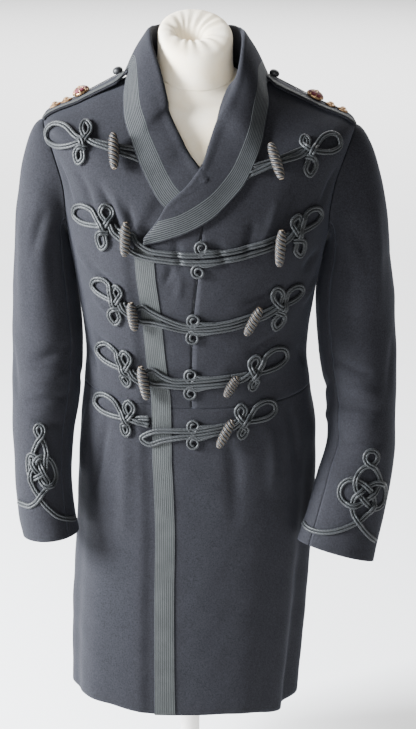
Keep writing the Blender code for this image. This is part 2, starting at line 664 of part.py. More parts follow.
# Cords across the front: upper run, lower run, and the curls at the seam, right to left.
CROSSINGS = {
    2: (((0.1155, 0.9755), (0.0631, 0.9607), (0.0230, 0.9545)), (0.0060, 0.9690),
        ((-0.0150, 0.9525), (-0.0468, 0.9545), (-0.0700, 0.9570), (-0.0880, 0.9625), (-0.0990, 0.9705)),
        (-0.1050, 0.9665),
        ((-0.0990, 0.9570), (-0.0800, 0.9480), (-0.0467, 0.9435), (-0.0150, 0.9410)), (0.0031, 0.9265),
        ((0.0230, 0.9425), (0.0631, 0.9490), (0.1155, 0.9635))),
    3: (((0.0755, 0.8500), (0.0500, 0.8420), (0.0130, 0.8365)), (-0.0038, 0.8515),
        ((-0.0200, 0.8370), (-0.0350, 0.8410), (-0.0573, 0.8515), (-0.0830, 0.8640)), (-0.0930, 0.8575),
        ((-0.0850, 0.8465), (-0.0556, 0.8395), (-0.0200, 0.8255)), (-0.0033, 0.8100),
        ((0.0130, 0.8250), (0.0500, 0.8300), (0.0755, 0.8380))),
    4: (((0.0470, 0.7510), (0.0300, 0.7510), (0.0090, 0.7505)), (-0.0077, 0.7655),
        ((-0.0240, 0.7505), (-0.0427, 0.7535), (-0.0640, 0.7600)), (-0.0755, 0.7540),
        ((-0.0640, 0.7455), (-0.0400, 0.7415), (-0.0230, 0.7390)), (-0.0064, 0.7240),
        ((0.0090, 0.7390), (0.0300, 0.7395), (0.0470, 0.7395))),
    5: (((0.0375, 0.6740), (0.0270, 0.6735), (0.0150, 0.6730)), (-0.0015, 0.6880),
        ((-0.0180, 0.6730), (-0.0400, 0.6700), (-0.0620, 0.6650)), (-0.0830, 0.6540),
        ((-0.0700, 0.6460), (-0.0450, 0.6540), (-0.0180, 0.6610)), (-0.0012, 0.6465),
        ((0.0150, 0.6615), (0.0270, 0.6620), (0.0375, 0.6625))),
}


def crossing_path(row):
    right_up, curl_up, left_up, end, left_low, curl_low, right_low = row
    up = np.array(curl_up)
    low = np.array(curl_low)
    side = np.array((CURL, 0.0))
    rise = np.array((0.0, CURL))
    points = list(right_up)
    points += [up + side, up + rise, up - side]
    points += list(left_up) + [end] + list(left_low)
    points += [low - side, low - rise, low + side]
    points += list(right_low)
    return thin_path(smooth_path(points))


def crossing_lift(x, z):
    """Cords rise where they lie over the braid of the front edge."""
    t, s = front_place(x, z)
    middle = bare_point(along(FRONT_EDGE, s), s)[0] + BRAID_WIDTH / 2
    near = max(0.0, (abs(x - middle) - BRAID_WIDTH / 2 - 0.008) / 0.010)
    return TRIM_LIFT + 0.0014 * max(0.0, 1 - near)


def build_crossings(group, cord):
    for number, row in CROSSINGS.items():
        ribbon(f"frog_loop_{number}", crossing_path(row), CORD_BAND, front_point, crossing_lift,
               CORD_HIGH, group, cord)


# Cuff knots lie on the sleeve laid flat: metres outward from its front line, metres above its edge
CUFF_KNOTS = {
    "right": ((0.0340, 0.0640), (0.0160, 0.0625), (0.0035, 0.0755), (0.0125, 0.0976), (0.0181, 0.1182),
              (0.0100, 0.1390), (0.0055, 0.1559), (0.0088, 0.1744), (0.0006, 0.1863), (-0.0085, 0.1747),
              (-0.0078, 0.1559), (-0.0144, 0.1383), (-0.0255, 0.1202), (-0.0248, 0.1028), (-0.0116, 0.0864),
              (-0.0099, 0.0693), (-0.0177, 0.0467), (-0.0371, 0.0343), (-0.0560, 0.0305)),
    "left": ((-0.0530, 0.0311), (-0.0416, 0.0280), (-0.0218, 0.0288), (0.0026, 0.0412), (0.0131, 0.0585),
             (-0.0016, 0.0760), (-0.0166, 0.0903), (-0.0190, 0.1109), (-0.0029, 0.1263), (0.0106, 0.1436),
             (0.0050, 0.1612), (0.0150, 0.1730), (0.0265, 0.1640), (0.0250, 0.1466), (0.0370, 0.1310),
             (0.0440, 0.1144), (0.0400, 0.0930), (0.0300, 0.0773), (0.0290, 0.0590), (0.0410, 0.0440),
             (0.0560, 0.0400)),
}
SLEEVE_SAMPLES = np.linspace(-0.10, 0.70, 161)


def sleeve_heights(word):
    """Length of the sleeve's front line from each sampled ring to the cuff edge."""
    rows = np.linspace(SLEEVE_END, SLEEVE_END - 4.0, 41)
    line = np.array([bare_sleeve(word, 0.25, v) for v in rows])
    steps = np.linalg.norm(np.diff(line, axis=0), axis=1)
    return rows, np.concatenate(((0.0,), np.cumsum(steps)))


SLEEVE_LENGTHS = {word: sleeve_heights(word) for word in SLEEVE_TABLES}


def flat_sleeve_point(word, across, up, out):
    """Point of the sleeve, given on the sleeve laid flat."""
    rows, lengths = SLEEVE_LENGTHS[word]
    v = float(np.interp(up, lengths, rows))
    ring = np.array([bare_sleeve(word, psi, v) for psi in SLEEVE_SAMPLES])
    arc = np.concatenate(((0.0,), np.cumsum(np.linalg.norm(np.diff(ring, axis=0), axis=1))))
    arc -= np.interp(0.25, SLEEVE_SAMPLES, arc)
    psi = float(np.interp(across, arc, SLEEVE_SAMPLES))
    return sleeve_point(word, psi, v, out)


def build_cuff_knots(group, cord):
    for word, points in CUFF_KNOTS.items():
        path = thin_path(smooth_path(points))

        def place(across, up, out):
            return flat_sleeve_point(word, across, up, out)
        ribbon(f"cuff_knot_{word}", path, CORD_BAND, place, lambda a, u: CUFF_LIFT, CORD_HIGH, group, cord)


# Olivets: the two ends of each barrel as x and z.
OLIVETS = {
    "right_1": ((-0.1284, 1.1225), (-0.1225, 1.0725)),
    "right_2": ((-0.1062, 0.9970), (-0.1065, 0.9460)),
    "right_3": ((-0.0986, 0.8740), (-0.0924, 0.8290)),
    "right_4": ((-0.0817, 0.7700), (-0.0745, 0.7200)),
    "left_1": ((0.1060, 1.1065), (0.1215, 1.0625)),
    "left_2": ((0.1206, 0.9890), (0.1180, 0.9370)),
    "left_3": ((0.0900, 0.8665), (0.0715, 0.8260)),
    "left_4": ((0.0620, 0.7620), (0.0460, 0.7260)),
    "left_5": ((0.0530, 0.6870), (0.0345, 0.6475)),
}
OLIVET_RADIUS = 0.0082
OLIVET_SHAPE = ((0.00, 0.42), (0.10, 0.78), (0.30, 0.98), (0.50, 1.00), (0.70, 0.98), (0.90, 0.78),
                (1.00, 0.42))


def build_olivets(group, silk):
    for name, (high, low) in OLIVETS.items():
        mid_x, mid_z = (high[0] + low[0]) / 2, (high[1] + low[1]) / 2
        rest = max(crossing_lift(mid_x, mid_z), knot_lift(mid_x, mid_z)) + CORD_HIGH + 0.0002
        height = rest + SEAM + OLIVET_RADIUS * 0.95
        middle = front_point(mid_x, mid_z, height)
        a = front_point(*high, height)
        b = front_point(*low, height)
        axis = (b - a) / np.linalg.norm(b - a)
        length = np.linalg.norm(b - a)
        across = np.cross(axis, (0.0, -1.0, 0.0))
        across /= np.linalg.norm(across)
        other = np.cross(axis, across)
        sections = []
        for part, wide in OLIVET_SHAPE:
            centre = middle + axis * length * (part - 0.5)
            ring = []
            for k in range(8):
                angle = 2 * math.pi * (k + 0.5) / 8
                ring.append(centre + OLIVET_RADIUS * wide * (math.cos(angle) * across + math.sin(angle) * other))
            sections.append(ring)
        loft(f"olivet_{name}", sections, group, silk)


# Braid down the left front's edge
def build_front_braid(group, braid):
    rings = (0.0,) + SKIRT_ROWS + (WAIST,) + tuple(s for s in TORSO_ROWS if s < 7.6)

    def place(i, j, layer):
        s = rings[j]
        edge = along(FRONT_EDGE, s) + 0.0006
        here = bare_point(edge, s)
        span = np.linalg.norm(bare_point(edge + 0.01, s) - here) / 0.01
        t = edge + BRAID_WIDTH / span * i / 2
        return body_point(t, s, 0.0005 + (0.0 if layer else BRAID_THICK))
    slab("front_braid", 2, len(rings) - 1, place, group, braid)


# Shoulder straps with their braid, crown, pips and button
STRAP_HALF = 0.027
STRAP_THICK = 0.0022
STRAP_RINGS = (10.10, 10.55, 11.0, 11.4, 11.8, 12.2)
STRAP_TURN = (((-0.0150, 11.95), (-0.0250, 12.12)), ((-0.0075, 11.96), (-0.0125, 12.14)))
ORNAMENTS = (("crown", 0.178), ("pip_inner", 0.2040), ("pip_outer", 0.2225))


def strap_place(side, across, s, out):
    """Point of the shoulder, across metres behind the ridge at ring s."""
    row = table_row(RINGS, RING_SLOPES, s)
    depth = row[4] if across < 0 else row[5]
    c = (abs(across) / depth) ** (row[8] / 2)
    turn = math.asin(min(1.0, c)) / (2 * math.pi)
    return body_point(side * (0.25 + math.copysign(turn, across)), s, out)


def ridge_ring(x):
    """Ring whose shoulder ridge lies this far from the middle."""
    low, high = 10.0, 12.8
    for _ in range(30):
        mid = (low + high) / 2
        if table_row(RINGS, RING_SLOPES, mid)[3] > x:
            low = mid
        else:
            high = mid
    return low


def turned(name, centre, up, shape, sides, group, mat, points=None):
    """Small turned ornament: shape rows are height and radius."""
    first = np.cross(up, (0.0, 1.0, 0.0))
    first /= np.linalg.norm(first)
    second = np.cross(up, first)
    sections = []
    for height, radius in shape:
        ring = []
        for k in range(sides):
            angle = 2 * math.pi * k / sides
            r = radius * (points if points and k % 2 else 1.0)
            ring.append(centre + up * height + r * (math.cos(angle) * first + math.sin(angle) * second))
        sections.append(ring)
    return loft(name, sections, group, mat)


CROWN_SHAPE = ((0.0, 0.0100), (0.0035, 0.0104), (0.0060, 0.0125), (0.0090, 0.0105), (0.0110, 0.0040))
PIP_SHAPE = ((0.0, 0.0085), (0.0016, 0.0085), (0.0032, 0.0032))
BUTTON_SHAPE = ((0.0, 0.0045), (0.0010, 0.0074), (0.0050, 0.0078), (0.0090, 0.0056), (0.0104, 0.0020))


def build_straps(group, cloth, braid, gold, silk):
    for side, word in ((1, "left"), (-1, "right")):
        def place(i, j, layer):
            across = STRAP_HALF * (i / 2 - 1)
            out = STRAP_LIFT + (0.0 if layer else STRAP_THICK)
            return strap_place(side, across, STRAP_RINGS[j], out)
        slab(f"shoulder_strap_{word}", 4, len(STRAP_RINGS) - 1, place, group, cloth)

        front = [((-0.0175, s), (-0.0255, s)) for s in STRAP_RINGS[:-1]] + list(STRAP_TURN)
        back = [((-a, s), (-b, r)) for (a, s), (b, r) in reversed(front)]
        route = front + [((0.0, 11.97), (0.0, 12.15))] + back

        def place_braid(i, j, layer):
            across, s = route[j][i]
            out = STRAP_LIFT + STRAP_THICK + 0.0005 + (0.0 if layer else BRAID_THICK)
            return strap_place(side, across, s, out)
        slab(f"strap_braid_{word}", 1, len(route) - 1, place_braid, group, braid)

        top = STRAP_LIFT + STRAP_THICK + 0.0004
        for kind, x in ORNAMENTS:
            s = ridge_ring(x)
            at = strap_place(side, 0.0005, s, top)
            up = normal_of(bare_point, side * 0.25, s, 0.0, NECK)
            if kind == "crown":
                turned(f"crown_{word}", at, up, CROWN_SHAPE, 10, group, gold)
            else:
                turned(f"{kind}_{word}", at, up, PIP_SHAPE, 8, group, gold, 0.62)
        s = ridge_ring(0.1245)
        at = strap_place(side, 0.0005, s, top + BRAID_THICK + 0.0008)
        up = normal_of(bare_point, side * 0.25, s, 0.0, NECK)
        turned(f"strap_button_{word}", at, up, BUTTON_SHAPE, 8, group, silk)


# Dress form, pole and base
FORM_SIDES = 28
FORM_RINGS = (3.3, 4.0, 5.0, 6.0, 7.0, 8.0, 8.5, 9.0, 9.5, 10.0, 10.5, 11.0, 11.6, 12.2, 12.7)
NECK_MID = (-0.008, 0.012)
NECK_RADIUS = 0.0575
NECK_LOW = ((1.200, 0.0610), (1.215, 0.0580), (1.232, 0.0575))
NECK_TILT = 0.58
NECK_TOP = ((1.262, 0.0575), (1.270, 0.0545), (1.273, 0.0470), (1.268, 0.0280), (1.262, 0.0150),
            (1.244, 0.0100))
POLE_RADIUS = 0.016
BASE_SHAPE = ((0.0, 0.150), (0.012, 0.150), (0.018, 0.144), (0.021, 0.040), (0.030, 0.026))


def form_inset(t, s):
    """Ease between form and coat: close on the shoulders only."""
    near = math.exp(-((abs(t) - 0.25) / 0.075) ** 2)
    high = min(max((s - 9.6) / 0.4, 0.0), 1.0)
    return 0.010 - (0.010 - CLOTH - 0.0009) * near * high


def circle(mid, radius, z, tilt=0.0):
    ring = []
    for k in range(FORM_SIDES):
        turn = 2 * math.pi * (k / FORM_SIDES - 0.5)
        x = mid[0] + radius * math.sin(turn)
        y = mid[1] - radius * math.cos(turn)
        ring.append(np.array((x, y, z + tilt * (y - mid[1]))))
    return ring


def build_form(group, jersey, metal):
    sections = []
    for s in FORM_RINGS:
        turns = [k / FORM_SIDES - 0.5 for k in range(FORM_SIDES)]
        if s < 3.6:
            ring = [bare_point(t, s) * (0.93, 0.93, 1.0) for t in turns]
            low = min(p[2] for p in ring)
            sections.append([np.array((p[0], p[1], low)) for p in ring])
        else:
            sections.append([bare_point(t, s) - form_inset(t, s) * normal_of(bare_point, t, s, 0.0, NECK)
                             for t in turns])
    sections += [circle(NECK_MID, r, z) for z, r in NECK_LOW]
    sections += [circle(NECK_MID, r, z, NECK_TILT) for z, r in NECK_TOP]
    loft("form_torso", sections, group, jersey)
    bottom = min(p[2] for p in sections[0])
    loft("form_pole", [circle((0.0, 0.0), POLE_RADIUS, z) for z in (BASE_SHAPE[-1][0] + SEAM, bottom - SEAM)],
         group, metal)
    loft("form_base", [circle((0.0, 0.0), r, z) for z, r in BASE_SHAPE], group, metal)


def build_all():
    for obj in list(bpy.data.objects):
        bpy.data.objects.remove(obj, do_unlink=True)
    group = make_collection("frock_coat")
    cloth = make_material("navy_wool", (0.016, 0.017, 0.025), 0.92)
    braid = make_material("grey_green_braid", (0.062, 0.076, 0.074), 0.80)
    cord = make_material("black_cord", (0.020, 0.024, 0.030), 0.65)
    silk = make_material("olivet_silk", (0.030, 0.030, 0.034), 0.60)
    gold = make_material("gilt_metal", (0.430, 0.270, 0.120), 0.40, 1.0)
    jersey = make_material("cream_jersey", (0.850, 0.780, 0.660), 0.90)
    metal = make_material("cream_stand", (0.800, 0.780, 0.740), 0.45)
    build_form(group, jersey, metal)
    build_fronts(group, cloth)
    build_backs(group, cloth)
    build_skirts(group, cloth)
    build_sleeves(group, cloth)
    build_collars(group, cloth, braid)
    build_front_braid(group, braid)
    build_straps(group, cloth, braid, gold, silk)
    build_knots(group, cord)
    build_crossings(group, cord)
    build_cuff_knots(group, cord)
    build_olivets(group, silk)


if __name__ == "__main__":
    build_all()
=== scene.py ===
import math

import bpy
import numpy as np
from mathutils import Matrix, Vector
from mathutils.bvhtree import BVHTree


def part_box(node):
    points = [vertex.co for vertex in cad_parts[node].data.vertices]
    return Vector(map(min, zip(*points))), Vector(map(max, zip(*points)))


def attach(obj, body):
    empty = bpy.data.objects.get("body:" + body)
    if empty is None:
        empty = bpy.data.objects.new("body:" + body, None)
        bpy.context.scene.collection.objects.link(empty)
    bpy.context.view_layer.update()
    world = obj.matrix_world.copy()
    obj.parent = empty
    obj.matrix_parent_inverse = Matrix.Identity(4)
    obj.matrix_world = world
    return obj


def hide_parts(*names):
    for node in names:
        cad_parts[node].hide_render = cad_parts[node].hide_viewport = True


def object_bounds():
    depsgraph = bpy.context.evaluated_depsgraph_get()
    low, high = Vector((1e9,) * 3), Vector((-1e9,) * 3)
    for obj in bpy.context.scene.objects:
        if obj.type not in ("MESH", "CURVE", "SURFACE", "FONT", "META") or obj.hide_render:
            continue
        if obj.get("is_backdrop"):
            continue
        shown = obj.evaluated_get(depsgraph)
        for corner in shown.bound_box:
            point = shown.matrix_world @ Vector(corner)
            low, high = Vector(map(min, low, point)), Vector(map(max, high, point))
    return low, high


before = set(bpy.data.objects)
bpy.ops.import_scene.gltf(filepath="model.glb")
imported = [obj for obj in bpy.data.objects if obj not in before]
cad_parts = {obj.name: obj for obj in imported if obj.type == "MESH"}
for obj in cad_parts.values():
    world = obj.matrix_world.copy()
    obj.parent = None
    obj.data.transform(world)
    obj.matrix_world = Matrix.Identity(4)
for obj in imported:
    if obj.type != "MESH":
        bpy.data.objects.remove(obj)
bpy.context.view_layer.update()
bpy.ops.object.select_all(action="DESELECT")

# Camera, floor and light.
# The camera stands a little above the form's neck and looks down the coat's front.
# A soft light stands far to the viewer's left, with a weak one in front and one over the floor behind.
CAMERA_PLACE = (0.020, -2.700, 1.5162)
CAMERA_DROP = math.radians(16.004)
CAMERA_ROLL = math.radians(1.0)
CAMERA_LENS_MM, CAMERA_SENSOR_MM = 86.74, 36.0
FLOOR_SIZE, FLOOR_ROUGHNESS = 60.0, 0.9
FLOOR_COLOUR = (0.90, 0.90, 0.90, 1)
ROOM_COLOUR, ROOM_STRENGTH = (1.0, 1.0, 1.0, 1), 0.27
PLAIN_LIGHT, COOL_LIGHT = (1.0, 1.0, 1.0), (0.91, 0.95, 1.0)
LIGHTS = (
    # name, place, aim, size, power, colour
    ("key_light", (-3.00, -1.00, 1.80), (0.0, 0.0, 0.90), 1.2, 1060, COOL_LIGHT),
    ("front_light", (-0.3, -3.4, 1.9), (0.0, 0.0, 0.7), 1.8, 60, PLAIN_LIGHT),
    ("floor_light", (0.0, 10.0, 7.0), (0.0, 10.2, 0.0), 12.0, 3200, PLAIN_LIGHT),
    ("rim_light", (1.2, 2.4, 2.4), (0.0, 0.0, 0.8), 1.6, 30, PLAIN_LIGHT),
)

camera_data = bpy.data.cameras.new("front_camera")
camera_data.lens = CAMERA_LENS_MM
camera_data.sensor_width = CAMERA_SENSOR_MM
camera = bpy.data.objects.new("front_camera", camera_data)
bpy.context.scene.collection.objects.link(camera)
camera.matrix_world = (Matrix.Translation(CAMERA_PLACE)
                       @ Matrix.Rotation(math.pi / 2 - CAMERA_DROP, 4, "X")
                       @ Matrix.Rotation(CAMERA_ROLL, 4, "Z"))
bpy.context.scene.camera = camera

bpy.ops.mesh.primitive_plane_add(size=FLOOR_SIZE, location=(0, 0, 0))
floor = bpy.context.object
floor.name = "studio_floor"
floor_paint = bpy.data.materials.new("pale_floor")
floor_paint.use_nodes = True
floor_shader = floor_paint.node_tree.nodes["Principled BSDF"]
floor_shader.inputs["Base Color"].default_value = FLOOR_COLOUR
floor_shader.inputs["Roughness"].default_value = FLOOR_ROUGHNESS
floor.data.materials.append(floor_paint)
floor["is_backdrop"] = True


def soft_light(name, place, aim, size, power, colour):
    """Square area light that faces a point."""
    data = bpy.data.lights.new(name, "AREA")
    data.shape = "SQUARE"
    data.size = size
    data.energy = power
    data.color = colour
    lamp = bpy.data.objects.new(name, data)
    bpy.context.scene.collection.objects.link(lamp)
    lamp.location = place
    lamp.rotation_mode = "QUATERNION"
    lamp.rotation_quaternion = (Vector(aim) - Vector(place)).to_track_quat("-Z", "Y")


for light in LIGHTS:
    soft_light(*light)
world = bpy.data.worlds.new("pale_room")
bpy.context.scene.world = world
world.use_nodes = True
world.node_tree.nodes["Background"].inputs["Color"].default_value = ROOM_COLOUR
world.node_tree.nodes["Background"].inputs["Strength"].default_value = ROOM_STRENGTH


# Dress form.
# A firm torso without limbs, covered in cream jersey that is gathered into a hole at the neck's top.
# The coat hides all but the neck and the upper chest.
CLOTH = 0.0022
SEAM_GAP = 0.0003
# The right front steps in by this much, starting a little before the left front's edge, over these turns
UNDER_STEP, STEP_AHEAD, STEP_RUN = 0.0042, 0.020, 0.016
WAIST, ARM_LOW, ARM_MID, ARM_TOP, NECK, RING_GAP = 4.0, 8.0, 9.0, 10.0, 13.0, 0.003
ARM_FRONT, ARM_BACK = 0.054, 0.078

# Rings of the garment, hem to neck
RINGS = np.array((
    # side_z, front_z, back_z, half_width, front, back, mid_y, mid_x, square
    (0.201, 0.201, 0.195, 0.1880, 0.160, 0.170, 0.005, -0.011, 2.70),
    (0.370, 0.370, 0.365, 0.1930, 0.150, 0.158, 0.005, -0.004, 2.50),
    (0.530, 0.530, 0.528, 0.1930, 0.139, 0.145, 0.005, 0.004, 2.40),
    (0.640, 0.635, 0.642, 0.1900, 0.130, 0.132, 0.003, 0.006, 2.35),
    (0.722, 0.706, 0.735, 0.1800, 0.123, 0.118, 0.000, 0.003, 2.30),
    (0.775, 0.765, 0.785, 0.1755, 0.122, 0.110, -0.003, 0.001, 2.25),
    (0.855, 0.850, 0.860, 0.1840, 0.132, 0.112, -0.005, 0.000, 2.20),
    (0.920, 0.920, 0.930, 0.1950, 0.142, 0.120, -0.005, 0.000, 2.20),
    (0.965, 0.975, 0.990, 0.2040, 0.146, 0.128, -0.002, 0.000, 2.20),
    (1.045, 1.020, 1.070, 0.2200, 0.142, 0.130, 0.004, 0.000, 2.20),
    (1.127, 1.068, 1.138, 0.2400, 0.130, 0.122, 0.010, 0.000, 2.20),
    (1.160, 1.112, 1.178, 0.1850, 0.106, 0.102, 0.012, -0.002, 2.10),
    (1.184, 1.145, 1.206, 0.1300, 0.086, 0.082, 0.012, -0.005, 2.05),
    (1.205, 1.172, 1.222, 0.0770, 0.070, 0.062, 0.012, -0.008, 2.00),
))
# How far the hem rises, by turn round the body
HEM_RISE = ((-0.5, 0.0), (-0.30, 0.0), (-0.20, 0.006), (-0.14, 0.011), (-0.09, 0.010), (-0.05, 0.004),
            (-0.02, 0.0), (0.03, 0.001), (0.08, -0.002), (0.13, -0.010), (0.17, -0.013), (0.22, -0.004),
            (0.30, 0.0), (0.5, 0.0))
# Folds of the skirt: turn, half width in turns, depth at the hem
FOLDS = ((0.178, 0.022, -0.014), (0.215, 0.020, 0.004), (0.262, 0.024, -0.008), (0.330, 0.026, -0.009),
         (0.395, 0.020, -0.006), (0.100, 0.030, -0.004), (-0.190, 0.026, -0.007), (-0.265, 0.024, -0.008),
         (-0.335, 0.024, -0.009), (-0.400, 0.020, -0.006), (-0.120, 0.024, 0.003), (0.040, 0.030, -0.003))
# Soft creases of the body: turn and ring of both ends, half width and depth in metres
BODY_CREASES = (
    (-0.108, 9.35, -0.088, 8.05, 0.0060, -0.0026), (-0.088, 9.20, -0.072, 8.10, 0.0055, 0.0016),
    (-0.072, 9.00, -0.066, 7.90, 0.0050, -0.0022), (-0.122, 9.10, -0.108, 7.60, 0.0075, 0.0016),
    (-0.140, 9.50, -0.120, 8.30, 0.0070, -0.0016), (-0.020, 8.15, -0.012, 7.10, 0.0050, -0.0014),
    (-0.026, 7.35, -0.036, 6.75, 0.0045, -0.0015), (-0.016, 7.05, -0.020, 6.40, 0.0050, 0.0010),
    (0.020, 8.10, 0.034, 7.20, 0.0060, -0.0013), (0.060, 8.60, 0.052, 7.50, 0.0065, -0.0015),
    (0.086, 9.10, 0.070, 7.70, 0.0070, 0.0014), (0.110, 9.40, 0.096, 7.90, 0.0070, -0.0018),
    (-0.150, 7.10, -0.090, 6.35, 0.0060, -0.0015), (-0.160, 6.30, -0.105, 5.75, 0.0060, 0.0014),
    (-0.170, 5.50, -0.110, 5.15, 0.0050, -0.0016), (-0.150, 4.95, -0.095, 4.70, 0.0045, 0.0010),
    (-0.030, 5.85, 0.020, 5.65, 0.0045, -0.0012), (-0.028, 4.95, 0.030, 5.05, 0.0045, -0.0011),
    (0.050, 6.30, 0.110, 6.70, 0.0055, -0.0013), (0.060, 5.30, 0.130, 5.70, 0.0055, -0.0014),
    (0.075, 4.75, 0.140, 4.95, 0.0045, 0.0010), (0.150, 6.90, 0.190, 7.60, 0.0075, -0.0022),
    (0.165, 6.10, 0.215, 6.70, 0.0075, 0.0018), (-0.185, 7.60, -0.150, 6.90, 0.0080, 0.0016),
    (-0.200, 5.20, -0.160, 4.50, 0.0060, -0.0016), (0.170, 5.30, 0.210, 4.60, 0.0060, -0.0018),
    (-0.125, 3.60, -0.150, 2.10, 0.0090, -0.0022), (-0.095, 3.50, -0.085, 1.60, 0.0120, 0.0016),
    (-0.180, 3.70, -0.205, 2.30, 0.0090, 0.0020), (0.030, 3.60, 0.042, 1.90, 0.0110, -0.0016),
    (0.085, 3.70, 0.100, 2.20, 0.0100, 0.0018), (0.140, 3.75, 0.150, 2.40, 0.0080, -0.0022),
    (0.180, 9.40, 0.160, 8.70, 0.0060, -0.0018), (-0.185, 9.45, -0.168, 8.60, 0.0060, -0.0020),
    (0.440, 9.60, 0.425, 8.20, 0.0080, -0.0022), (0.405, 10.10, 0.385, 8.90, 0.0075, 0.0016),
    (0.560, 9.70, 0.575, 8.40, 0.0080, -0.0019), (0.598, 10.00, 0.612, 8.70, 0.0070, 0.0017),
    (0.470, 10.60, 0.430, 10.20, 0.0060, -0.0012), (0.530, 10.70, 0.575, 10.25, 0.0060, -0.0014),
    (0.455, 5.60, 0.390, 5.10, 0.0055, -0.0018), (0.460, 5.05, 0.400, 4.65, 0.0050, 0.0014),
    (0.545, 5.70, 0.605, 5.20, 0.0055, -0.0017), (0.540, 5.10, 0.598, 4.70, 0.0050, 0.0013),
    (0.345, 6.90, 0.300, 6.10, 0.0070, -0.0018), (0.655, 7.00, 0.700, 6.20, 0.0070, -0.0018),
    (0.462, 3.40, 0.452, 1.20, 0.0100, -0.0028), (0.540, 3.50, 0.552, 1.40, 0.0100, -0.0025),
    (0.375, 3.70, 0.366, 2.00, 0.0100, 0.0024), (0.622, 3.70, 0.634, 2.10, 0.0100, 0.0022),
)
CREASE_SHARE, CREASE_BOW, SLACK = 2.5, 0.004, 0.0003
HEM_RISE_TOP, FOLD_TOP = 1.5, 3.6
JERSEY_COLOUR = (0.900, 0.820, 0.670, 1)
JERSEY_SHADE = (0.830, 0.690, 0.470, 1)
FORM_EASE, FORM_COLUMNS = 0.010, 96
# Near the shoulder seams the form comes closer to the cloth, over these turns and rings
NEAR_EASE, NEAR_TURN, NEAR_RINGS = 0.0016, 0.075, (9.6, 10.0)
FORM_FOOT, FOOT_SHARE = 3.6, (0.93, 0.93, 1.0)
FORM_RINGS = (3.3, 3.62, 4.0, 5.0, 6.0, 7.0, 8.0, 8.5, 9.0, 9.5, 10.0, 10.5, 11.0)
NECK_MIDDLE = np.array((-0.008, 0.012))
HOLE_MIDDLE = np.array((-0.016, 0.011))
HOLE_FLAT = 0.28
# Neck side: height, radius, lean toward the front
NECK_SIDE = ((1.204, 0.0622, 0.40), (1.2068, 0.0613, 0.41), (1.2077, 0.0599, 0.41),
             (1.2086, 0.0607, 0.42), (1.211, 0.0600, 0.43), (1.221, 0.0584, 0.46), (1.234, 0.0577, 0.50),
             (1.246, 0.0575, 0.53))
NECK_TILT, NECK_CANT = 0.55, -0.045
# Neck top: height, radius, share of the way to the hole's middle, depth of the gathers
NECK_TOP = (
    (1.2560, 0.0575, 0.00, 0.0000), (1.2610, 0.0568, 0.00, 0.0001), (1.2650, 0.0548, 0.05, 0.0002),
    (1.2675, 0.0515, 0.12, 0.0004), (1.2688, 0.0470, 0.22, 0.0006), (1.2692, 0.0420, 0.36, 0.0009),
    (1.2688, 0.0365, 0.52, 0.0012), (1.2674, 0.0310, 0.70, 0.0015), (1.2650, 0.0262, 0.85, 0.0018),
    (1.2610, 0.0224, 0.96, 0.0020), (1.2545, 0.0192, 1.00, 0.0019), (1.2460, 0.0160, 1.00, 0.0015),
    (1.2380, 0.0110, 1.00, 0.0008), (1.2350, 0.0040, 1.00, 0.0002),
)
GATHERS = 15


def steady_slopes(rise):
    """Slopes from the steps between rows, which keep a smooth curve from overshooting them."""
    slope = np.zeros((len(rise) + 1,) + rise.shape[1:])
    same = rise[:-1] * rise[1:] > 0
    slope[1:-1] = np.where(same, 2 * rise[:-1] * rise[1:] / np.where(same, rise[:-1] + rise[1:], 1), 0)
    slope[0], slope[-1] = rise[0], rise[-1]
    return slope


RING_SLOPES = steady_slopes(np.diff(RINGS, axis=0))


def cubic(u, first, last, leave, arrive):
    """Smooth step between two values with the slopes at both."""
    return ((2 * u**3 - 3 * u**2 + 1) * first + (u**3 - 2 * u**2 + u) * leave
            + (3 * u**2 - 2 * u**3) * last + (u**3 - u**2) * arrive)


def soft_share(u):
    """Share from 0 to 1 that starts and ends gently."""
    return u * u * (3 - 2 * u)


def arc_of(points):
    """Length along a line of points, from its start to each point."""
    return np.concatenate(((0.0,), np.cumsum(np.linalg.norm(np.diff(points, axis=0), axis=1))))


def rows_at(table, slopes, s):
    """Rows of a table at places s, smooth between its rows."""
    s = np.asarray(s, float)
    i = np.clip(np.floor(s).astype(int), 0, len(table) - 2)
    u = (s - i).reshape(s.shape + (1,) * (table.ndim - 1))
    return cubic(u, table[i], table[i + 1], slopes[i], slopes[i + 1])


def smooth_line(table):
    """Function through (place, value) rows that doesn't overshoot them."""
    place, value = np.array(table, float).T
    step = np.diff(place)
    slope = steady_slopes(np.diff(value) / step)

    def value_at(s):
        s = np.clip(np.asarray(s, float), place[0], place[-1])
        i = np.clip(np.searchsorted(place, s, side="right") - 1, 0, len(step) - 1)
        h = step[i]
        return cubic((s - place[i]) / h, value[i], value[i + 1], h * slope[i], h * slope[i + 1])
    return value_at


hem_rise = smooth_line(HEM_RISE)


def bare_body(t, s):
    """Outer face of the garment at turn t and ring s, before folds and creases."""
    t, s = np.broadcast_arrays(np.asarray(t, float), np.asarray(s, float))
    row = np.moveaxis(rows_at(RINGS, RING_SLOPES, s), -1, 0)
    side_z, front_z, back_z, half, front, back, mid_y, mid_x, square = row
    c, q = np.cos(2 * np.pi * t), np.sin(2 * np.pi * t)
    x = mid_x + half * np.sign(q) * np.abs(q) ** (2 / square)
    y = mid_y - np.where(c > 0, front, back) * np.sign(c) * np.abs(c) ** (2 / square)
    z = side_z + (np.where(c > 0, front_z, back_z) - side_z) * c * c
    z = z + hem_rise((t + 0.5) % 1.0 - 0.5) * np.clip(1 - s / HEM_RISE_TOP, 0, 1) ** 2
    return np.stack((x, y, z), -1)


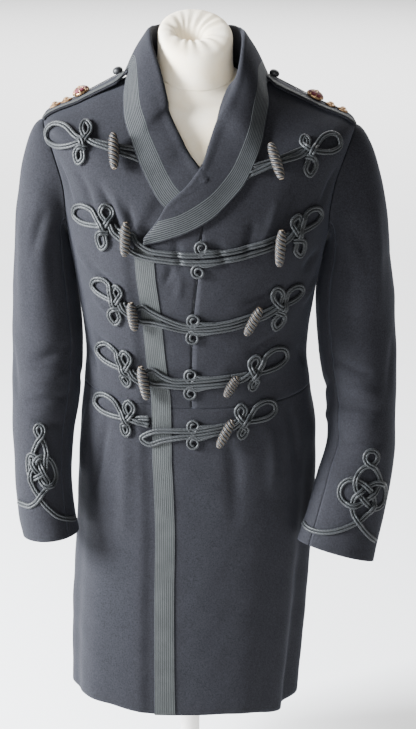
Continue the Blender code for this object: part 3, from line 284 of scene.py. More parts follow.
def normals_of(face, u, v, low, high):
    """Unit normals of a two-parameter face."""
    du = face(u + 1e-3, v) - face(u - 1e-3, v)
    dv = face(u, np.minimum(v + 0.02, high)) - face(u, np.maximum(v - 0.02, low))
    n = np.cross(du, dv)
    return n / np.maximum(np.linalg.norm(n, axis=-1, keepdims=True), 1e-12)


def fold_depth(t, s):
    """How far the skirt's folds move the cloth, growing toward the hem."""
    grow = np.clip(1 - s / FOLD_TOP, 0, 1) ** 1.2
    turn = (t + 0.5) % 1.0 - 0.5
    return grow * sum(depth * np.exp(-((turn - mid) / half) ** 2) for mid, half, depth in FOLDS)


def crease_lines(face, table):
    """Each crease as points on the bare face, with its half width and depth."""
    steps = np.linspace(0, 1, 7)
    lines = []
    for u0, v0, u1, v1, wide, depth in table:
        bow = CREASE_BOW * math.sin(37.0 * (u0 + v0))
        us = u0 + (u1 - u0) * steps + bow * np.sin(np.pi * steps)
        lines.append((face(us, v0 + (v1 - v0) * steps), wide, depth))
    return lines


def crease_depth(points, lines):
    """Sum of the soft troughs and ridges near each point, fading at their ends."""
    total = np.zeros(points.shape[:-1])
    for line, wide, depth in lines:
        best = np.full(total.shape, 1e9)
        share = np.zeros(total.shape)
        last = len(line) - 1
        for k in range(last):
            leg = line[k + 1] - line[k]
            u = np.clip(((points - line[k]) @ leg) / (leg @ leg), 0, 1)
            away = np.linalg.norm(points - line[k] - u[..., None] * leg, axis=-1)
            nearer = away < best
            best = np.where(nearer, away, best)
            share = np.where(nearer, (k + u) / last, share)
        total += CREASE_SHARE * depth * np.exp(-(best / wide) ** 2) * np.sin(np.pi * share) ** 0.8
    return total


def slack(points):
    """Slow unevenness of cloth that hangs, in metres."""
    x, y, z = np.moveaxis(points, -1, 0)
    wave = (np.sin(61 * x + 23 * z + 1.3) * np.sin(47 * z - 31 * y + 0.4)
            + 0.7 * np.sin(97 * z + 53 * x - 41 * y + 2.1) + 0.5 * np.sin(131 * x - 83 * z + 29 * y))
    return SLACK * wave


body_lines = crease_lines(bare_body, BODY_CREASES)


def coat_point(t, s, out=0.0):
    """Outer face of the worn coat, moved out by a distance."""
    t, s = np.broadcast_arrays(np.asarray(t, float), np.asarray(s, float))
    bare = bare_body(t, s)
    move = out + fold_depth(t, s) + crease_depth(bare, body_lines) + slack(bare)
    return bare + move[..., None] * normals_of(bare_body, t, s, 0.0, NECK)


def grid_mesh(name, points, flat_uv, wall=0.0, closed=False):
    """Mesh through a grid of points, rows by columns, given a wall toward its back if asked."""
    rows, columns = points.shape[:2]
    bpy.ops.mesh.primitive_grid_add(x_subdivisions=columns - 1, y_subdivisions=rows - 1, size=2.0)
    obj = bpy.context.object
    obj.name = name
    obj.data.name = name
    mesh = obj.data
    spot = np.empty(len(mesh.vertices) * 3, np.float32)
    mesh.vertices.foreach_get("co", spot)
    spot = spot.reshape(-1, 3)
    i = np.rint((spot[:, 0] + 1) / 2 * (columns - 1)).astype(int)
    j = np.rint((spot[:, 1] + 1) / 2 * (rows - 1)).astype(int)
    mesh.vertices.foreach_set("co", points[j, i].astype(np.float32).ravel())
    corner = np.empty(len(mesh.loops), np.int32)
    mesh.loops.foreach_get("vertex_index", corner)
    layer = mesh.uv_layers.active or mesh.uv_layers.new(name="cloth_uv")
    layer.name = "cloth_uv"
    layer.data.foreach_set("uv", flat_uv[j, i][corner].astype(np.float32).ravel())
    mesh.polygons.foreach_set("use_smooth", np.ones(len(mesh.polygons), bool))
    mesh.update()
    if closed:
        bpy.ops.object.mode_set(mode="EDIT")
        bpy.ops.mesh.select_all(action="SELECT")
        bpy.ops.mesh.remove_doubles(threshold=0.00001)
        bpy.ops.mesh.select_all(action="DESELECT")
        bpy.ops.mesh.select_non_manifold()
        bpy.ops.mesh.fill_holes(sides=0)
        bpy.ops.mesh.select_all(action="SELECT")
        bpy.ops.mesh.normals_make_consistent(inside=False)
        bpy.ops.object.mode_set(mode="OBJECT")
    if wall:
        shell = obj.modifiers.new("wall", "SOLIDIFY")
        shell.thickness = wall
        shell.offset = -1.0
        bpy.ops.object.modifier_apply(modifier="wall")
    obj.select_set(False)
    return obj


def flat_uv_of(points):
    """Lengths across and along a grid of points, in metres."""
    across = np.linalg.norm(np.diff(points, axis=1), axis=-1)
    along = np.linalg.norm(np.diff(points, axis=0), axis=-1)
    uv = np.zeros(points.shape[:2] + (2,))
    uv[:, 1:, 0] = np.cumsum(across, axis=1)
    uv[:, :, 0] -= uv[:, -1:, 0] / 2
    uv[1:, :, 1] = np.cumsum(along.mean(axis=1))[:, None]
    return uv


def effect_group(name, inputs, outputs):
    """Empty node group with named sockets; inputs are (name, kind, value)."""
    tree = bpy.data.node_groups.new(name, "ShaderNodeTree")
    for label, kind, value in inputs:
        socket = tree.interface.new_socket(label, in_out="INPUT", socket_type=kind)
        if value is not None:
            socket.default_value = value
    for label in outputs:
        tree.interface.new_socket(label, in_out="OUTPUT", socket_type="NodeSocketFloat")
    return tree, tree.nodes.new("NodeGroupInput").outputs, tree.nodes.new("NodeGroupOutput").inputs


def feed(tree, value, socket):
    """Links another node's output to a socket, or sets the socket's value."""
    if isinstance(value, bpy.types.NodeSocket):
        tree.links.new(value, socket)
    elif value is not None:
        socket.default_value = value


def add_node(tree, kind, settings, **inputs):
    """Node with settings, whose inputs take values or other nodes' outputs."""
    node = tree.nodes.new(kind)
    for key, value in settings.items():
        setattr(node, key, value)
    for key, value in inputs.items():
        feed(tree, value, node.inputs[key.replace("_", " ")])
    return node


def math_node(tree, operation, *values):
    node = add_node(tree, "ShaderNodeMath", {"operation": operation})
    for socket, value in zip(node.inputs, values):
        feed(tree, value, socket)
    return node.outputs[0]


def noise(tree, place, scale, detail, roughness):
    return add_node(tree, "ShaderNodeTexNoise", {}, Vector=place, Scale=scale, Detail=detail,
                    Roughness=roughness).outputs["Fac"]


def make_nap():
    """Milled cloth: short fibres and slow mottling, as a shade and a height."""
    tree, source, sink = effect_group(
        "milled_nap",
        [("Place", "NodeSocketVector", None), ("Fibre", "NodeSocketFloat", 1400.0),
         ("Mottle", "NodeSocketFloat", 60.0), ("Mottle Share", "NodeSocketFloat", 0.5)],
        ["Shade", "Height"])
    fibre = noise(tree, source["Place"], source["Fibre"], 3.0, 0.65)
    mottle = noise(tree, source["Place"], source["Mottle"], 4.0, 0.6)
    mix = tree.nodes.new("ShaderNodeMix")
    for number, value in ((0, source["Mottle Share"]), (2, fibre), (3, mottle)):
        feed(tree, value, mix.inputs[number])
    tree.links.new(mix.outputs[0], sink["Shade"])
    tree.links.new(fibre, sink["Height"])
    return tree


milled_nap = make_nap()


def colour_ramp(tree, factor, stops):
    """Colour ramp from (place, colour) stops."""
    node = add_node(tree, "ShaderNodeValToRGB", {}, Fac=factor)
    for mark, (place, colour) in zip(node.color_ramp.elements, stops):
        mark.position = place
        mark.color = colour
    return node.outputs["Color"]


def begin_material(name, fibre, mottle, share):
    """New material with its own nap, as the material, its tree, the nap's shade and its height."""
    mat = bpy.data.materials.new(name)
    mat.use_nodes = True
    tree = mat.node_tree
    spot = tree.nodes.new("ShaderNodeTexCoord").outputs["Object"]
    nap = add_node(tree, "ShaderNodeGroup", {"node_tree": milled_nap}, Place=spot, Fibre=fibre,
                   Mottle=mottle, Mottle_Share=share)
    return mat, tree, nap.outputs["Shade"], nap.outputs["Height"]


def end_material(mat, shade, stops, height, bump, **values):
    """Gives a material its colours, its bump (strength, distance) and its shader's values."""
    tree = mat.node_tree
    shader = tree.nodes["Principled BSDF"]
    tree.links.new(colour_ramp(tree, shade, stops), shader.inputs["Base Color"])
    if bump:
        relief = add_node(tree, "ShaderNodeBump", {}, Height=height, Strength=bump[0], Distance=bump[1])
        tree.links.new(relief.outputs["Normal"], shader.inputs["Normal"])
    for key, value in values.items():
        shader.inputs[key.replace("_", " ")].default_value = value
    return mat


def napped_material(name, nap, stops, bump, **values):
    """Material whose colour and relief are those of its nap (fibre, mottle, share)."""
    mat, _, shade, height = begin_material(name, *nap)
    return end_material(mat, shade, stops, height, bump, **values)


def make_jersey():
    """Fine cream knit, a little yellower in its hollows."""
    mat, tree, shade, height = begin_material("cream_jersey_knit", 1100.0, 24.0, 0.7)
    uv = tree.nodes.new("ShaderNodeUVMap").outputs["UV"]
    wales = add_node(tree, "ShaderNodeTexWave", {"bands_direction": "X"}, Vector=uv, Scale=260.0,
                     Distortion=1.5)
    knit = math_node(tree, "ADD", height, wales.outputs["Fac"])
    return end_material(mat, shade, ((0.30, JERSEY_SHADE), (0.62, JERSEY_COLOUR)), knit, (0.25, 0.0003),
                        Roughness=0.88, Sheen_Weight=0.15, Specular_IOR_Level=0.25)


jersey = make_jersey()


def stand_in_for(piece, node, material):
    """Sets a finished piece in the frame in place of its CAD node."""
    piece.data.materials.clear()
    piece.data.materials.append(material)
    place_in_frame(piece, node)


def place_in_frame(piece, node):
    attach(piece, "root")
    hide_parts(node)


def form_ring(s):
    """Ring of the torso, inside the coat."""
    t = np.linspace(-0.5, 0.5, FORM_COLUMNS + 1)
    near = np.exp(-((np.abs(t) - 0.25) / NEAR_TURN) ** 2) * np.interp(s, NEAR_RINGS, (0.0, 1.0))
    inset = FORM_EASE - (FORM_EASE - CLOTH - NEAR_EASE) * near
    face = bare_body(t, s) - inset[:, None] * normals_of(bare_body, t, np.full_like(t, s), 0.0, NECK)
    if s < FORM_FOOT:
        face = bare_body(t, s) * FOOT_SHARE
        face[:, 2] = face[:, 2].min()
    return face


def neck_ring(height, radius, share=0.0, gather=0.0, tilt=NECK_TILT):
    """Ring of the neck, leaning toward the front; rings of its top carry the gathers."""
    turn = 2 * np.pi * np.linspace(-0.5, 0.5, FORM_COLUMNS + 1)
    middle = NECK_MIDDLE + (HOLE_MIDDLE - NECK_MIDDLE) * share
    pleat = np.cos(GATHERS * turn + 1.3 * np.sin(2 * turn) + 0.8 * np.sin(5 * turn + 1.0))
    pleat *= 0.75 + 0.25 * np.sin(3 * turn + 0.6)
    reach = radius + 0.25 * gather * pleat
    x = middle[0] + reach * np.sin(turn)
    y = middle[1] - reach * np.cos(turn) * (1 - HOLE_FLAT * share)
    z = height + tilt * (y - NECK_MIDDLE[1]) + NECK_CANT * (x - NECK_MIDDLE[0]) + gather * pleat
    return np.stack((x, y, z), -1)


form_rows = [form_ring(s) for s in FORM_RINGS + tuple(np.linspace(11.3, 12.75, 8))]
form_rows += [neck_ring(z, r, tilt=lean) for z, r, lean in NECK_SIDE]
form_rows += [neck_ring(*row) for row in NECK_TOP]
form_points = np.array(form_rows)
form = grid_mesh("form_torso_jersey", form_points, flat_uv_of(form_points), closed=True)
stand_in_for(form, "form_torso", jersey)


# Stand.
# A steel tube stands in a round cast base; both are painted cream.
# They are turned parts, hidden behind the coat's skirt but for the base.
POLE_RADIUS = 0.016
POLE_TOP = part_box("form_pole")[1].z
BASE_RADIUS, BASE_THICK, BOSS_RADIUS, BOSS_TOP = 0.150, 0.014, 0.026, 0.030
RIM_INSET, RIM_RISE, FOOT_RADIUS, FOOT_RISE = 0.010, 0.004, 0.040, 0.002
STAND_COLOUR = (0.760, 0.735, 0.690, 1)
STAND_WORN = (0.560, 0.530, 0.480, 1)


stand_paint = napped_material("cream_stand_paint", (500.0, 18.0, 0.8),
                              ((0.28, STAND_WORN), (0.45, STAND_COLOUR)), (0.15, 0.0004), Roughness=0.42)


def select_faces(obj, wanted):
    """In edit mode, selects only the faces whose centre and normal pass the test."""
    bpy.ops.object.mode_set(mode="EDIT")
    bpy.ops.mesh.select_mode(type="FACE")
    bpy.ops.mesh.select_all(action="DESELECT")
    bpy.ops.object.mode_set(mode="OBJECT")
    for face in obj.data.polygons:
        face.select = bool(wanted(face.center, face.normal))
    bpy.ops.object.mode_set(mode="EDIT")


def soften(obj, width, segments=2, angle=35):
    """Rounds the sharp edges and shades the rest smooth."""
    edge = obj.modifiers.new("soft_edges", "BEVEL")
    edge.width = width
    edge.segments = segments
    edge.limit_method = "ANGLE"
    edge.angle_limit = math.radians(angle)
    bpy.ops.object.modifier_apply(modifier="soft_edges")
    bpy.ops.object.shade_smooth_by_angle(angle=math.radians(angle))


bpy.ops.mesh.primitive_cylinder_add(vertices=96, radius=BASE_RADIUS, depth=BASE_THICK, end_fill_type="NGON",
                                    location=(0, 0, BASE_THICK / 2))
base = bpy.context.object
base.name = "form_base_plate"
bpy.ops.object.transform_apply(location=True)
select_faces(base, lambda centre, normal: normal.z > 0.9)
bpy.ops.mesh.inset(thickness=RIM_INSET)
bpy.ops.transform.translate(value=(0, 0, RIM_RISE))
bpy.ops.mesh.inset(thickness=BASE_RADIUS - RIM_INSET - FOOT_RADIUS)
bpy.ops.transform.translate(value=(0, 0, FOOT_RISE))
bpy.ops.mesh.inset(thickness=FOOT_RADIUS - BOSS_RADIUS)
boss_rise = BOSS_TOP - BASE_THICK - RIM_RISE - FOOT_RISE
bpy.ops.mesh.extrude_region_move(TRANSFORM_OT_translate={"value": (0, 0, boss_rise)})
bpy.ops.object.mode_set(mode="OBJECT")
soften(base, 0.0015)
base.select_set(False)
stand_in_for(base, "form_base", stand_paint)

bpy.ops.mesh.primitive_cylinder_add(vertices=48, radius=POLE_RADIUS, depth=POLE_TOP - BOSS_TOP - 2 * SEAM_GAP,
                                    end_fill_type="NGON", location=(0, 0, (POLE_TOP + BOSS_TOP) / 2))
pole = bpy.context.object
pole.name = "form_pole_tube"
bpy.ops.object.transform_apply(location=True)
select_faces(pole, lambda centre, normal: abs(normal.z) > 0.9)
bpy.ops.mesh.inset(thickness=0.003)
bpy.ops.transform.resize(value=(0.98, 0.98, 1.0), center_override=(0, 0, 0))
bpy.ops.object.mode_set(mode="OBJECT")
soften(pole, 0.0008)
pole.select_set(False)
stand_in_for(pole, "form_pole", stand_paint)


# Body of the coat.
# Milled navy wool, cut as foreparts, an overlapping lapel panel, side bodies, backs and full skirts.
# The panels are sewn edge to edge; each seam sinks a little and the cloth keeps soft creases of wear.
FRONT_EDGE = ((0.0, -0.0230), (1.25, -0.0352), (2.85, -0.0497), (4.3, -0.0550), (5.24, -0.0636),
              (6.85, -0.0707), (7.80, -0.0712), (7.98, -0.0602), (8.60, -0.0408), (9.10, -0.0295),
              (9.63, -0.0116), (10.27, -0.0005), (10.85, 0.0088), (11.64, 0.0265), (12.39, 0.0583),
              (12.92, 0.1102), (13.0, 0.1180))
LAPEL_SEAM = ((4.0, -0.0036), (5.25, -0.0031), (6.15, -0.0013), (6.86, 0.0013), (8.40, 0.0050),
              (13.0, 0.0060))
UNDER_EDGE = ((0.0, 0.050), (7.8, 0.050), (8.6, 0.0408), (9.10, 0.0295), (9.63, 0.0116), (10.27, -0.0009),
              (10.585, -0.0073), (11.09, -0.0202), (12.06, -0.0520), (12.94, -0.1206), (13.0, -0.1260))
SIDE_SEAM = ((4.0, 0.268), (6.0, 0.262), (8.0, 0.250))
BACK_SEAM = ((0.0, 0.425), (2.0, 0.432), (4.0, 0.440), (5.0, 0.428), (6.5, 0.400), (8.0, 0.360),
             (8.6, 0.343), (9.0, 0.3298))
SEAM_TURN, CENTRE_TURN = 0.00015, 0.00002
CLOTH_PITCH = 0.0044
SEAM_SINK, SEAM_REACH = 0.0006, 0.0022
LAPEL_TOP = 9.68
WOOL_DARK = (0.0036, 0.0036, 0.0046, 1)
WOOL_LIGHT = (0.0150, 0.0151, 0.0190, 1)
COLLAR_INSET = 0.0065
WOOL_SHEEN = (0.55, 0.60, 0.80, 1)


wool = napped_material("milled_navy_wool", (1100.0, 430.0, 0.55), ((0.38, WOOL_DARK), (0.62, WOOL_LIGHT)),
                       (0.6, 0.0006), Roughness=0.92, Specular_IOR_Level=0.18, Sheen_Weight=0.05,
                       Sheen_Roughness=0.45, Sheen_Tint=WOOL_SHEEN)


def along(line, s):
    """Turn of a line on the cloth at rings s."""
    return np.interp(s, [row[0] for row in line], [row[1] for row in line])


def under_step(t, s):
    """The right front steps in where the left front lies over it."""
    u = np.clip((t - along(FRONT_EDGE, s) + STEP_AHEAD) / STEP_RUN, 0, 1)
    return -UNDER_STEP * soft_share(u)


def no_step(t, s):
    return np.zeros(np.broadcast(t, s).shape)


def armhole_turn(s, front):
    """Turn of the armhole's edge at rings s."""
    reach = np.sqrt(np.clip(1 - (s - ARM_MID) ** 2, 0, 1))
    return 0.25 - ARM_FRONT * reach if front else 0.25 + ARM_BACK * reach


def even_rows(low, high, t=0.25):
    """Rings from low to high, about one cloth pitch apart on the line at turn t."""
    fine = np.linspace(low, high, 400)
    run = arc_of(bare_body(t, fine))
    count = max(2, int(round(run[-1] / CLOTH_PITCH)) + 1)
    return np.interp(np.linspace(0, run[-1], count), run, fine)


def rows_between(low, high):
    """Rings of a panel, closer together at the ends of the armhole."""
    bends = ARM_MID - np.cos(np.linspace(0, np.pi, 37))
    parts = []
    if low < ARM_LOW:
        parts.append(even_rows(low, min(high, ARM_LOW)))
    parts.append(bends[(bends > low) & (bends < high)])
    if high > ARM_TOP:
        parts.append(even_rows(ARM_TOP, high, 0.1))
    rows = np.unique(np.round(np.concatenate(parts + [[low, high]]), 4))
    keep = np.concatenate(((True,), np.diff(rows) > 0.004))
    return rows[keep]


def seam_sink(flat, sunk=(True, True)):
    """How far a panel sinks beside its sewn edges, left and right."""
    from_left = flat[..., 0] - flat[:, :1, 0]
    from_right = flat[:, -1:, 0] - flat[..., 0]
    return SEAM_SINK * (sunk[0] * np.exp(-(from_left / SEAM_REACH) ** 2)
                        + sunk[1] * np.exp(-(from_right / SEAM_REACH) ** 2))


def cloth_piece(node, points, wall=CLOTH):
    """Wool through a grid of points, in place of its CAD node."""
    piece = grid_mesh(f"{node}_cloth", points, flat_uv_of(points), wall)
    stand_in_for(piece, node, wool)


coat_faces = []


def body_panel(node, rows, left, right, shape=no_step, sunk=(True, True)):
    """One sewn panel of the body between two lines, as a shell of the cloth's thickness."""
    middle = rows[len(rows) // 2:][:1]
    ends = bare_body(np.linspace(left(middle)[0], right(middle)[0], 60), middle[0])
    columns = max(8, int(arc_of(ends)[-1] / CLOTH_PITCH) + 2)
    low, high = left(rows), right(rows)
    t = low[:, None] + (high - low)[:, None] * np.linspace(0, 1, columns)
    s = np.broadcast_to(rows[:, None], t.shape)
    points = coat_point(t, s, shape(t, s) - seam_sink(flat_uv_of(bare_body(t, s)), sunk))
    coat_faces.append(points)
    cloth_piece(node, points)


def front_edge(s):
    """Left front's edge; above the lowest fastening it keeps inside the collar's roll."""
    return along(FRONT_EDGE, s) + COLLAR_INSET * np.clip((s - 8.0) / 0.5, 0, 1)


def under_edge(s):
    """Right front's hidden edge, inside its own collar's roll too."""
    return along(UNDER_EDGE, s) - COLLAR_INSET / 2 * np.clip((s - 10.2) / 0.5, 0, 1)


def forepart_inner(s):
    seam = along(LAPEL_SEAM, s) + SEAM_TURN
    blend = np.clip((s - ARM_TOP) / 0.1, 0, 1)
    return seam + (front_edge(s) - seam) * blend


def side_edge(s):
    """Outer edge of a forepart: side seam, armhole, then shoulder seam."""
    edge = np.where(s < ARM_LOW, along(SIDE_SEAM, s), np.where(s < ARM_TOP, armhole_turn(s, True), 0.25))
    return edge - SEAM_TURN


def back_edge(s):
    """Outer edge of a back: back seam, armhole, then shoulder seam."""
    high = np.where(s < ARM_TOP, armhole_turn(s, False), 0.25)
    return np.where(s <= ARM_MID, along(BACK_SEAM, s), high) + SEAM_TURN


def side_back(s):
    return np.where(s < ARM_LOW, along(SIDE_SEAM, s), armhole_turn(s, False)) + SEAM_TURN


def back_seam(s):
    """Edge that a side body and the left skirt share with the back."""
    return along(BACK_SEAM, s) - SEAM_TURN


def mirrored(line):
    """The same line on the coat's other side."""
    return lambda s: -line(s)


low_row, top_row = WAIST + RING_GAP, NECK - RING_GAP
torso_rows = rows_between(low_row, top_row)
skirt_rows = even_rows(0.0, WAIST - RING_GAP)
side_rows = rows_between(low_row, ARM_MID - RING_GAP)
back_rows = rows_between(RING_GAP, top_row)
body_panel("forepart_left", torso_rows, forepart_inner, side_edge)
body_panel("forepart_right", torso_rows, mirrored(side_edge), under_edge, under_step, (True, False))
body_panel("lapel_left", rows_between(low_row, LAPEL_TOP), front_edge,
           lambda s: along(LAPEL_SEAM, s) - SEAM_TURN, sunk=(False, True))
body_panel("skirt_left", skirt_rows, lambda s: along(FRONT_EDGE, s), back_seam, sunk=(False, True))
body_panel("skirt_right", skirt_rows, mirrored(back_seam), under_edge, under_step, (True, False))
body_panel("side_body_left", side_rows, side_back, back_seam)
body_panel("side_body_right", side_rows, mirrored(back_seam), mirrored(side_back))
body_panel("back_left", back_rows, back_edge, lambda s: np.full_like(s, 0.5 - CENTRE_TURN))
body_panel("back_right", back_rows, lambda s: np.full_like(s, CENTRE_TURN - 0.5), mirrored(back_edge))


# Sleeves.
# Each is cut in two pieces, top and under, that meet at a forearm seam and an elbow seam.
# The head is eased into the armhole; the arm bends forward at the elbow and wrinkles there.
SLEEVE_TABLES = {
    "left": np.array((
        # z, mid_x, mid_y, half_x, half_y, lean_x, lean_y
        (0.930, 0.2500, 0.010, 0.0505, 0.076, 0.00, 0.00),
        (0.855, 0.2510, 0.006, 0.0605, 0.074, 0.00, 0.00),
        (0.775, 0.2570, -0.006, 0.0600, 0.070, -0.02, -0.10),
        (0.700, 0.2640, -0.022, 0.0540, 0.066, -0.05, -0.25),
        (0.638, 0.2660, -0.042, 0.0520, 0.060, -0.10, -0.32),
        (0.573, 0.2540, -0.066, 0.0560, 0.050, -0.22, -0.36),
        (0.515, 0.2400, -0.084, 0.0570, 0.042, -0.26, -0.36),
        (0.4696, 0.2270, -0.102, 0.0590, 0.036, -0.28, -0.15),
    )),
    "right": np.array((
        (0.930, 0.2420, 0.010, 0.0430, 0.076, 0.00, 0.00),
        (0.855, 0.2385, 0.006, 0.0500, 0.074, 0.00, 0.00),
        (0.775, 0.2350, -0.006, 0.0540, 0.070, 0.00, -0.10),
        (0.700, 0.2365, -0.022, 0.0520, 0.066, 0.00, -0.25),
        (0.638, 0.2400, -0.042, 0.0465, 0.060, 0.00, -0.32),
        (0.573, 0.2380, -0.066, 0.0425, 0.054, -0.10, -0.36),
        (0.520, 0.2320, -0.084, 0.0425, 0.050, -0.10, -0.36),
        (0.492, 0.2240, -0.100, 0.0415, 0.048, -0.08, 0.00),
    )),
}
SLEEVE_SLOPES = {word: steady_slopes(np.diff(table, axis=0)) for word, table in SLEEVE_TABLES.items()}
SIDES = {"left": 1, "right": -1}
HEAD, SLEEVE_END = 3.0, 10.0
FOREARM_SEAM, ELBOW_SEAM, SLEEVE_SEAM = 0.12, 0.80, 0.0006
ARMHOLE_SHRINK = 0.9925
# Soft creases of each sleeve: psi and ring of both ends, half width and depth in metres
SLEEVE_CREASES = {
    "left": (
        (0.10, 5.10, 0.30, 5.45, 0.0080, -0.0020), (0.12, 5.70, 0.34, 5.95, 0.0080, 0.0016),
        (0.08, 6.20, 0.36, 6.30, 0.0070, -0.0022), (0.10, 6.75, 0.32, 6.65, 0.0075, 0.0014),
        (0.12, 7.25, 0.36, 7.05, 0.0065, -0.0014), (0.22, 1.40, 0.30, 3.40, 0.0090, -0.0016),
        (0.36, 1.60, 0.33, 4.20, 0.0110, 0.0014), (0.14, 1.90, 0.20, 3.80, 0.0080, -0.0016),
        (0.42, 4.60, 0.36, 6.00, 0.0100, -0.0014), (0.80, 5.60, 0.58, 5.90, 0.0090, -0.0016),
        (0.82, 6.30, 0.62, 6.30, 0.0090, 0.0014), (0.70, 1.80, 0.66, 3.90, 0.0100, -0.0018),
        (-0.06, 5.90, 0.08, 5.60, 0.0080, -0.0014), (-0.08, 6.60, 0.09, 6.40, 0.0080, 0.0012),
    ),
    "right": (
        (0.12, 4.90, 0.32, 5.30, 0.0085, -0.0020), (0.10, 5.50, 0.35, 5.80, 0.0080, 0.0014),
        (0.10, 6.05, 0.34, 6.25, 0.0070, -0.0018), (0.12, 6.80, 0.30, 6.70, 0.0070, -0.0012),
        (0.24, 1.30, 0.29, 3.20, 0.0090, -0.0018), (0.37, 1.70, 0.35, 4.60, 0.0110, 0.0012),
        (0.15, 2.10, 0.19, 3.90, 0.0080, -0.0012), (0.44, 4.90, 0.38, 6.30, 0.0100, -0.0012),
        (0.81, 5.40, 0.60, 5.80, 0.0090, -0.0018), (0.82, 6.20, 0.63, 6.40, 0.0090, 0.0015),
        (0.69, 1.90, 0.65, 4.10, 0.0100, -0.0016), (-0.05, 5.70, 0.08, 5.50, 0.0080, -0.0014),
    ),
}


def armhole_loop(side, psi):
    """Edge of the sleeve's head inside the armhole."""
    q = np.sin(2 * np.pi * psi)
    reach = ARMHOLE_SHRINK * np.where(q > 0, ARM_FRONT * q, ARM_BACK * q)
    return coat_point(side * (0.25 - reach), ARM_MID - ARMHOLE_SHRINK * np.cos(2 * np.pi * psi))


def sleeve_face(word):
    """Bare face of a sleeve: a bent head over the first three rings, then the arm."""
    side = SIDES[word]
    table, slopes = SLEEVE_TABLES[word], SLEEVE_SLOPES[word]

    def face(psi, v):
        psi, v = np.broadcast_arrays(np.asarray(psi, float), np.asarray(v, float))
        row = np.moveaxis(rows_at(table, slopes, np.maximum(v - HEAD, 0.0)), -1, 0)
        z, mid_x, mid_y, half_x, half_y, lean_x, lean_y = row
        dx = -half_x * np.cos(2 * np.pi * psi)
        dy = -half_y * np.sin(2 * np.pi * psi)
        arm = np.stack((side * (mid_x + dx), mid_y + dy, z + lean_x * dx + lean_y * dy), -1)
        start = armhole_loop(side, psi)
        high = 0.5 - 0.5 * np.cos(2 * np.pi * psi)
        top = np.clip(high - 0.5, 0, 1) * 2
        ahead = np.stack((np.full_like(top, side), np.zeros_like(top), 0.12 * top), -1)
        first = start + ahead * (0.012 + 0.018 * high)[..., None]
        last = arm + np.array((0.0, 0.0, 1.0)) * (0.010 + 0.048 * high)[..., None]
        u = np.clip(v / HEAD, 0, 1)[..., None]
        w = 1 - u
        head = w**3 * start + 3 * w * w * u * first + 3 * w * u * u * last + u**3 * arm
        return np.where((v < HEAD)[..., None], head, arm)
    return face


sleeve_faces = {word: sleeve_face(word) for word in SIDES}
sleeve_lines = {word: crease_lines(sleeve_faces[word], SLEEVE_CREASES[word]) for word in SIDES}


def sleeve_normals(word, psi, v):
    face = sleeve_faces[word]
    n = normals_of(face, psi, v, 0.0, SLEEVE_END)
    inward = face(psi + 0.5, v) - face(psi, v)
    return n * np.where((n * inward).sum(-1, keepdims=True) > 0, -1.0, 1.0)


def sleeve_point(word, psi, v, out=0.0):
    """Outer face of a worn sleeve, moved out by a distance."""
    psi, v = np.broadcast_arrays(np.asarray(psi, float), np.asarray(v, float))
    bare = sleeve_faces[word](psi, v)
    settle = np.clip(v / 0.8, 0, 1)
    move = out + settle * (crease_depth(bare, sleeve_lines[word]) + slack(bare))
    return bare + move[..., None] * sleeve_normals(word, psi, v)


def sleeve_piece(kind, word, low, high, columns):
    """One piece of a sleeve, between two seams."""
    rows = np.concatenate((np.linspace(0, HEAD, 40)[:-1], np.linspace(HEAD, SLEEVE_END, 112)))
    psi, v = np.meshgrid(np.linspace(low + SLEEVE_SEAM, high - SLEEVE_SEAM, columns), rows)
    points = sleeve_point(word, psi, v, -seam_sink(flat_uv_of(sleeve_faces[word](psi, v))))
    points = points[::-1, ::-SIDES[word]]
    cloth_piece(f"{kind}_sleeve_{word}", points)


for word in SIDES:
    sleeve_piece("top", word, FOREARM_SEAM, ELBOW_SEAM, 60)
    sleeve_piece("under", word, ELBOW_SEAM - 1, FOREARM_SEAM, 32)


# Collar.
# One rolled collar, cut in two halves that meet behind the neck and cross low on the chest.
# It stands against the neck, rolls over and falls flat on the fronts; the left half lies on top.
BRAID_WIDTH, BRAID_THICK = 0.029, 0.0010
FALL_LOW, FALL_HIGH, FALL_PRESSED = 0.0032, 0.0065, 0.0034
ROLL_SHIFT, PRESSED_BELOW = {-1: 0.0000, 1: -0.0045}, 11.0
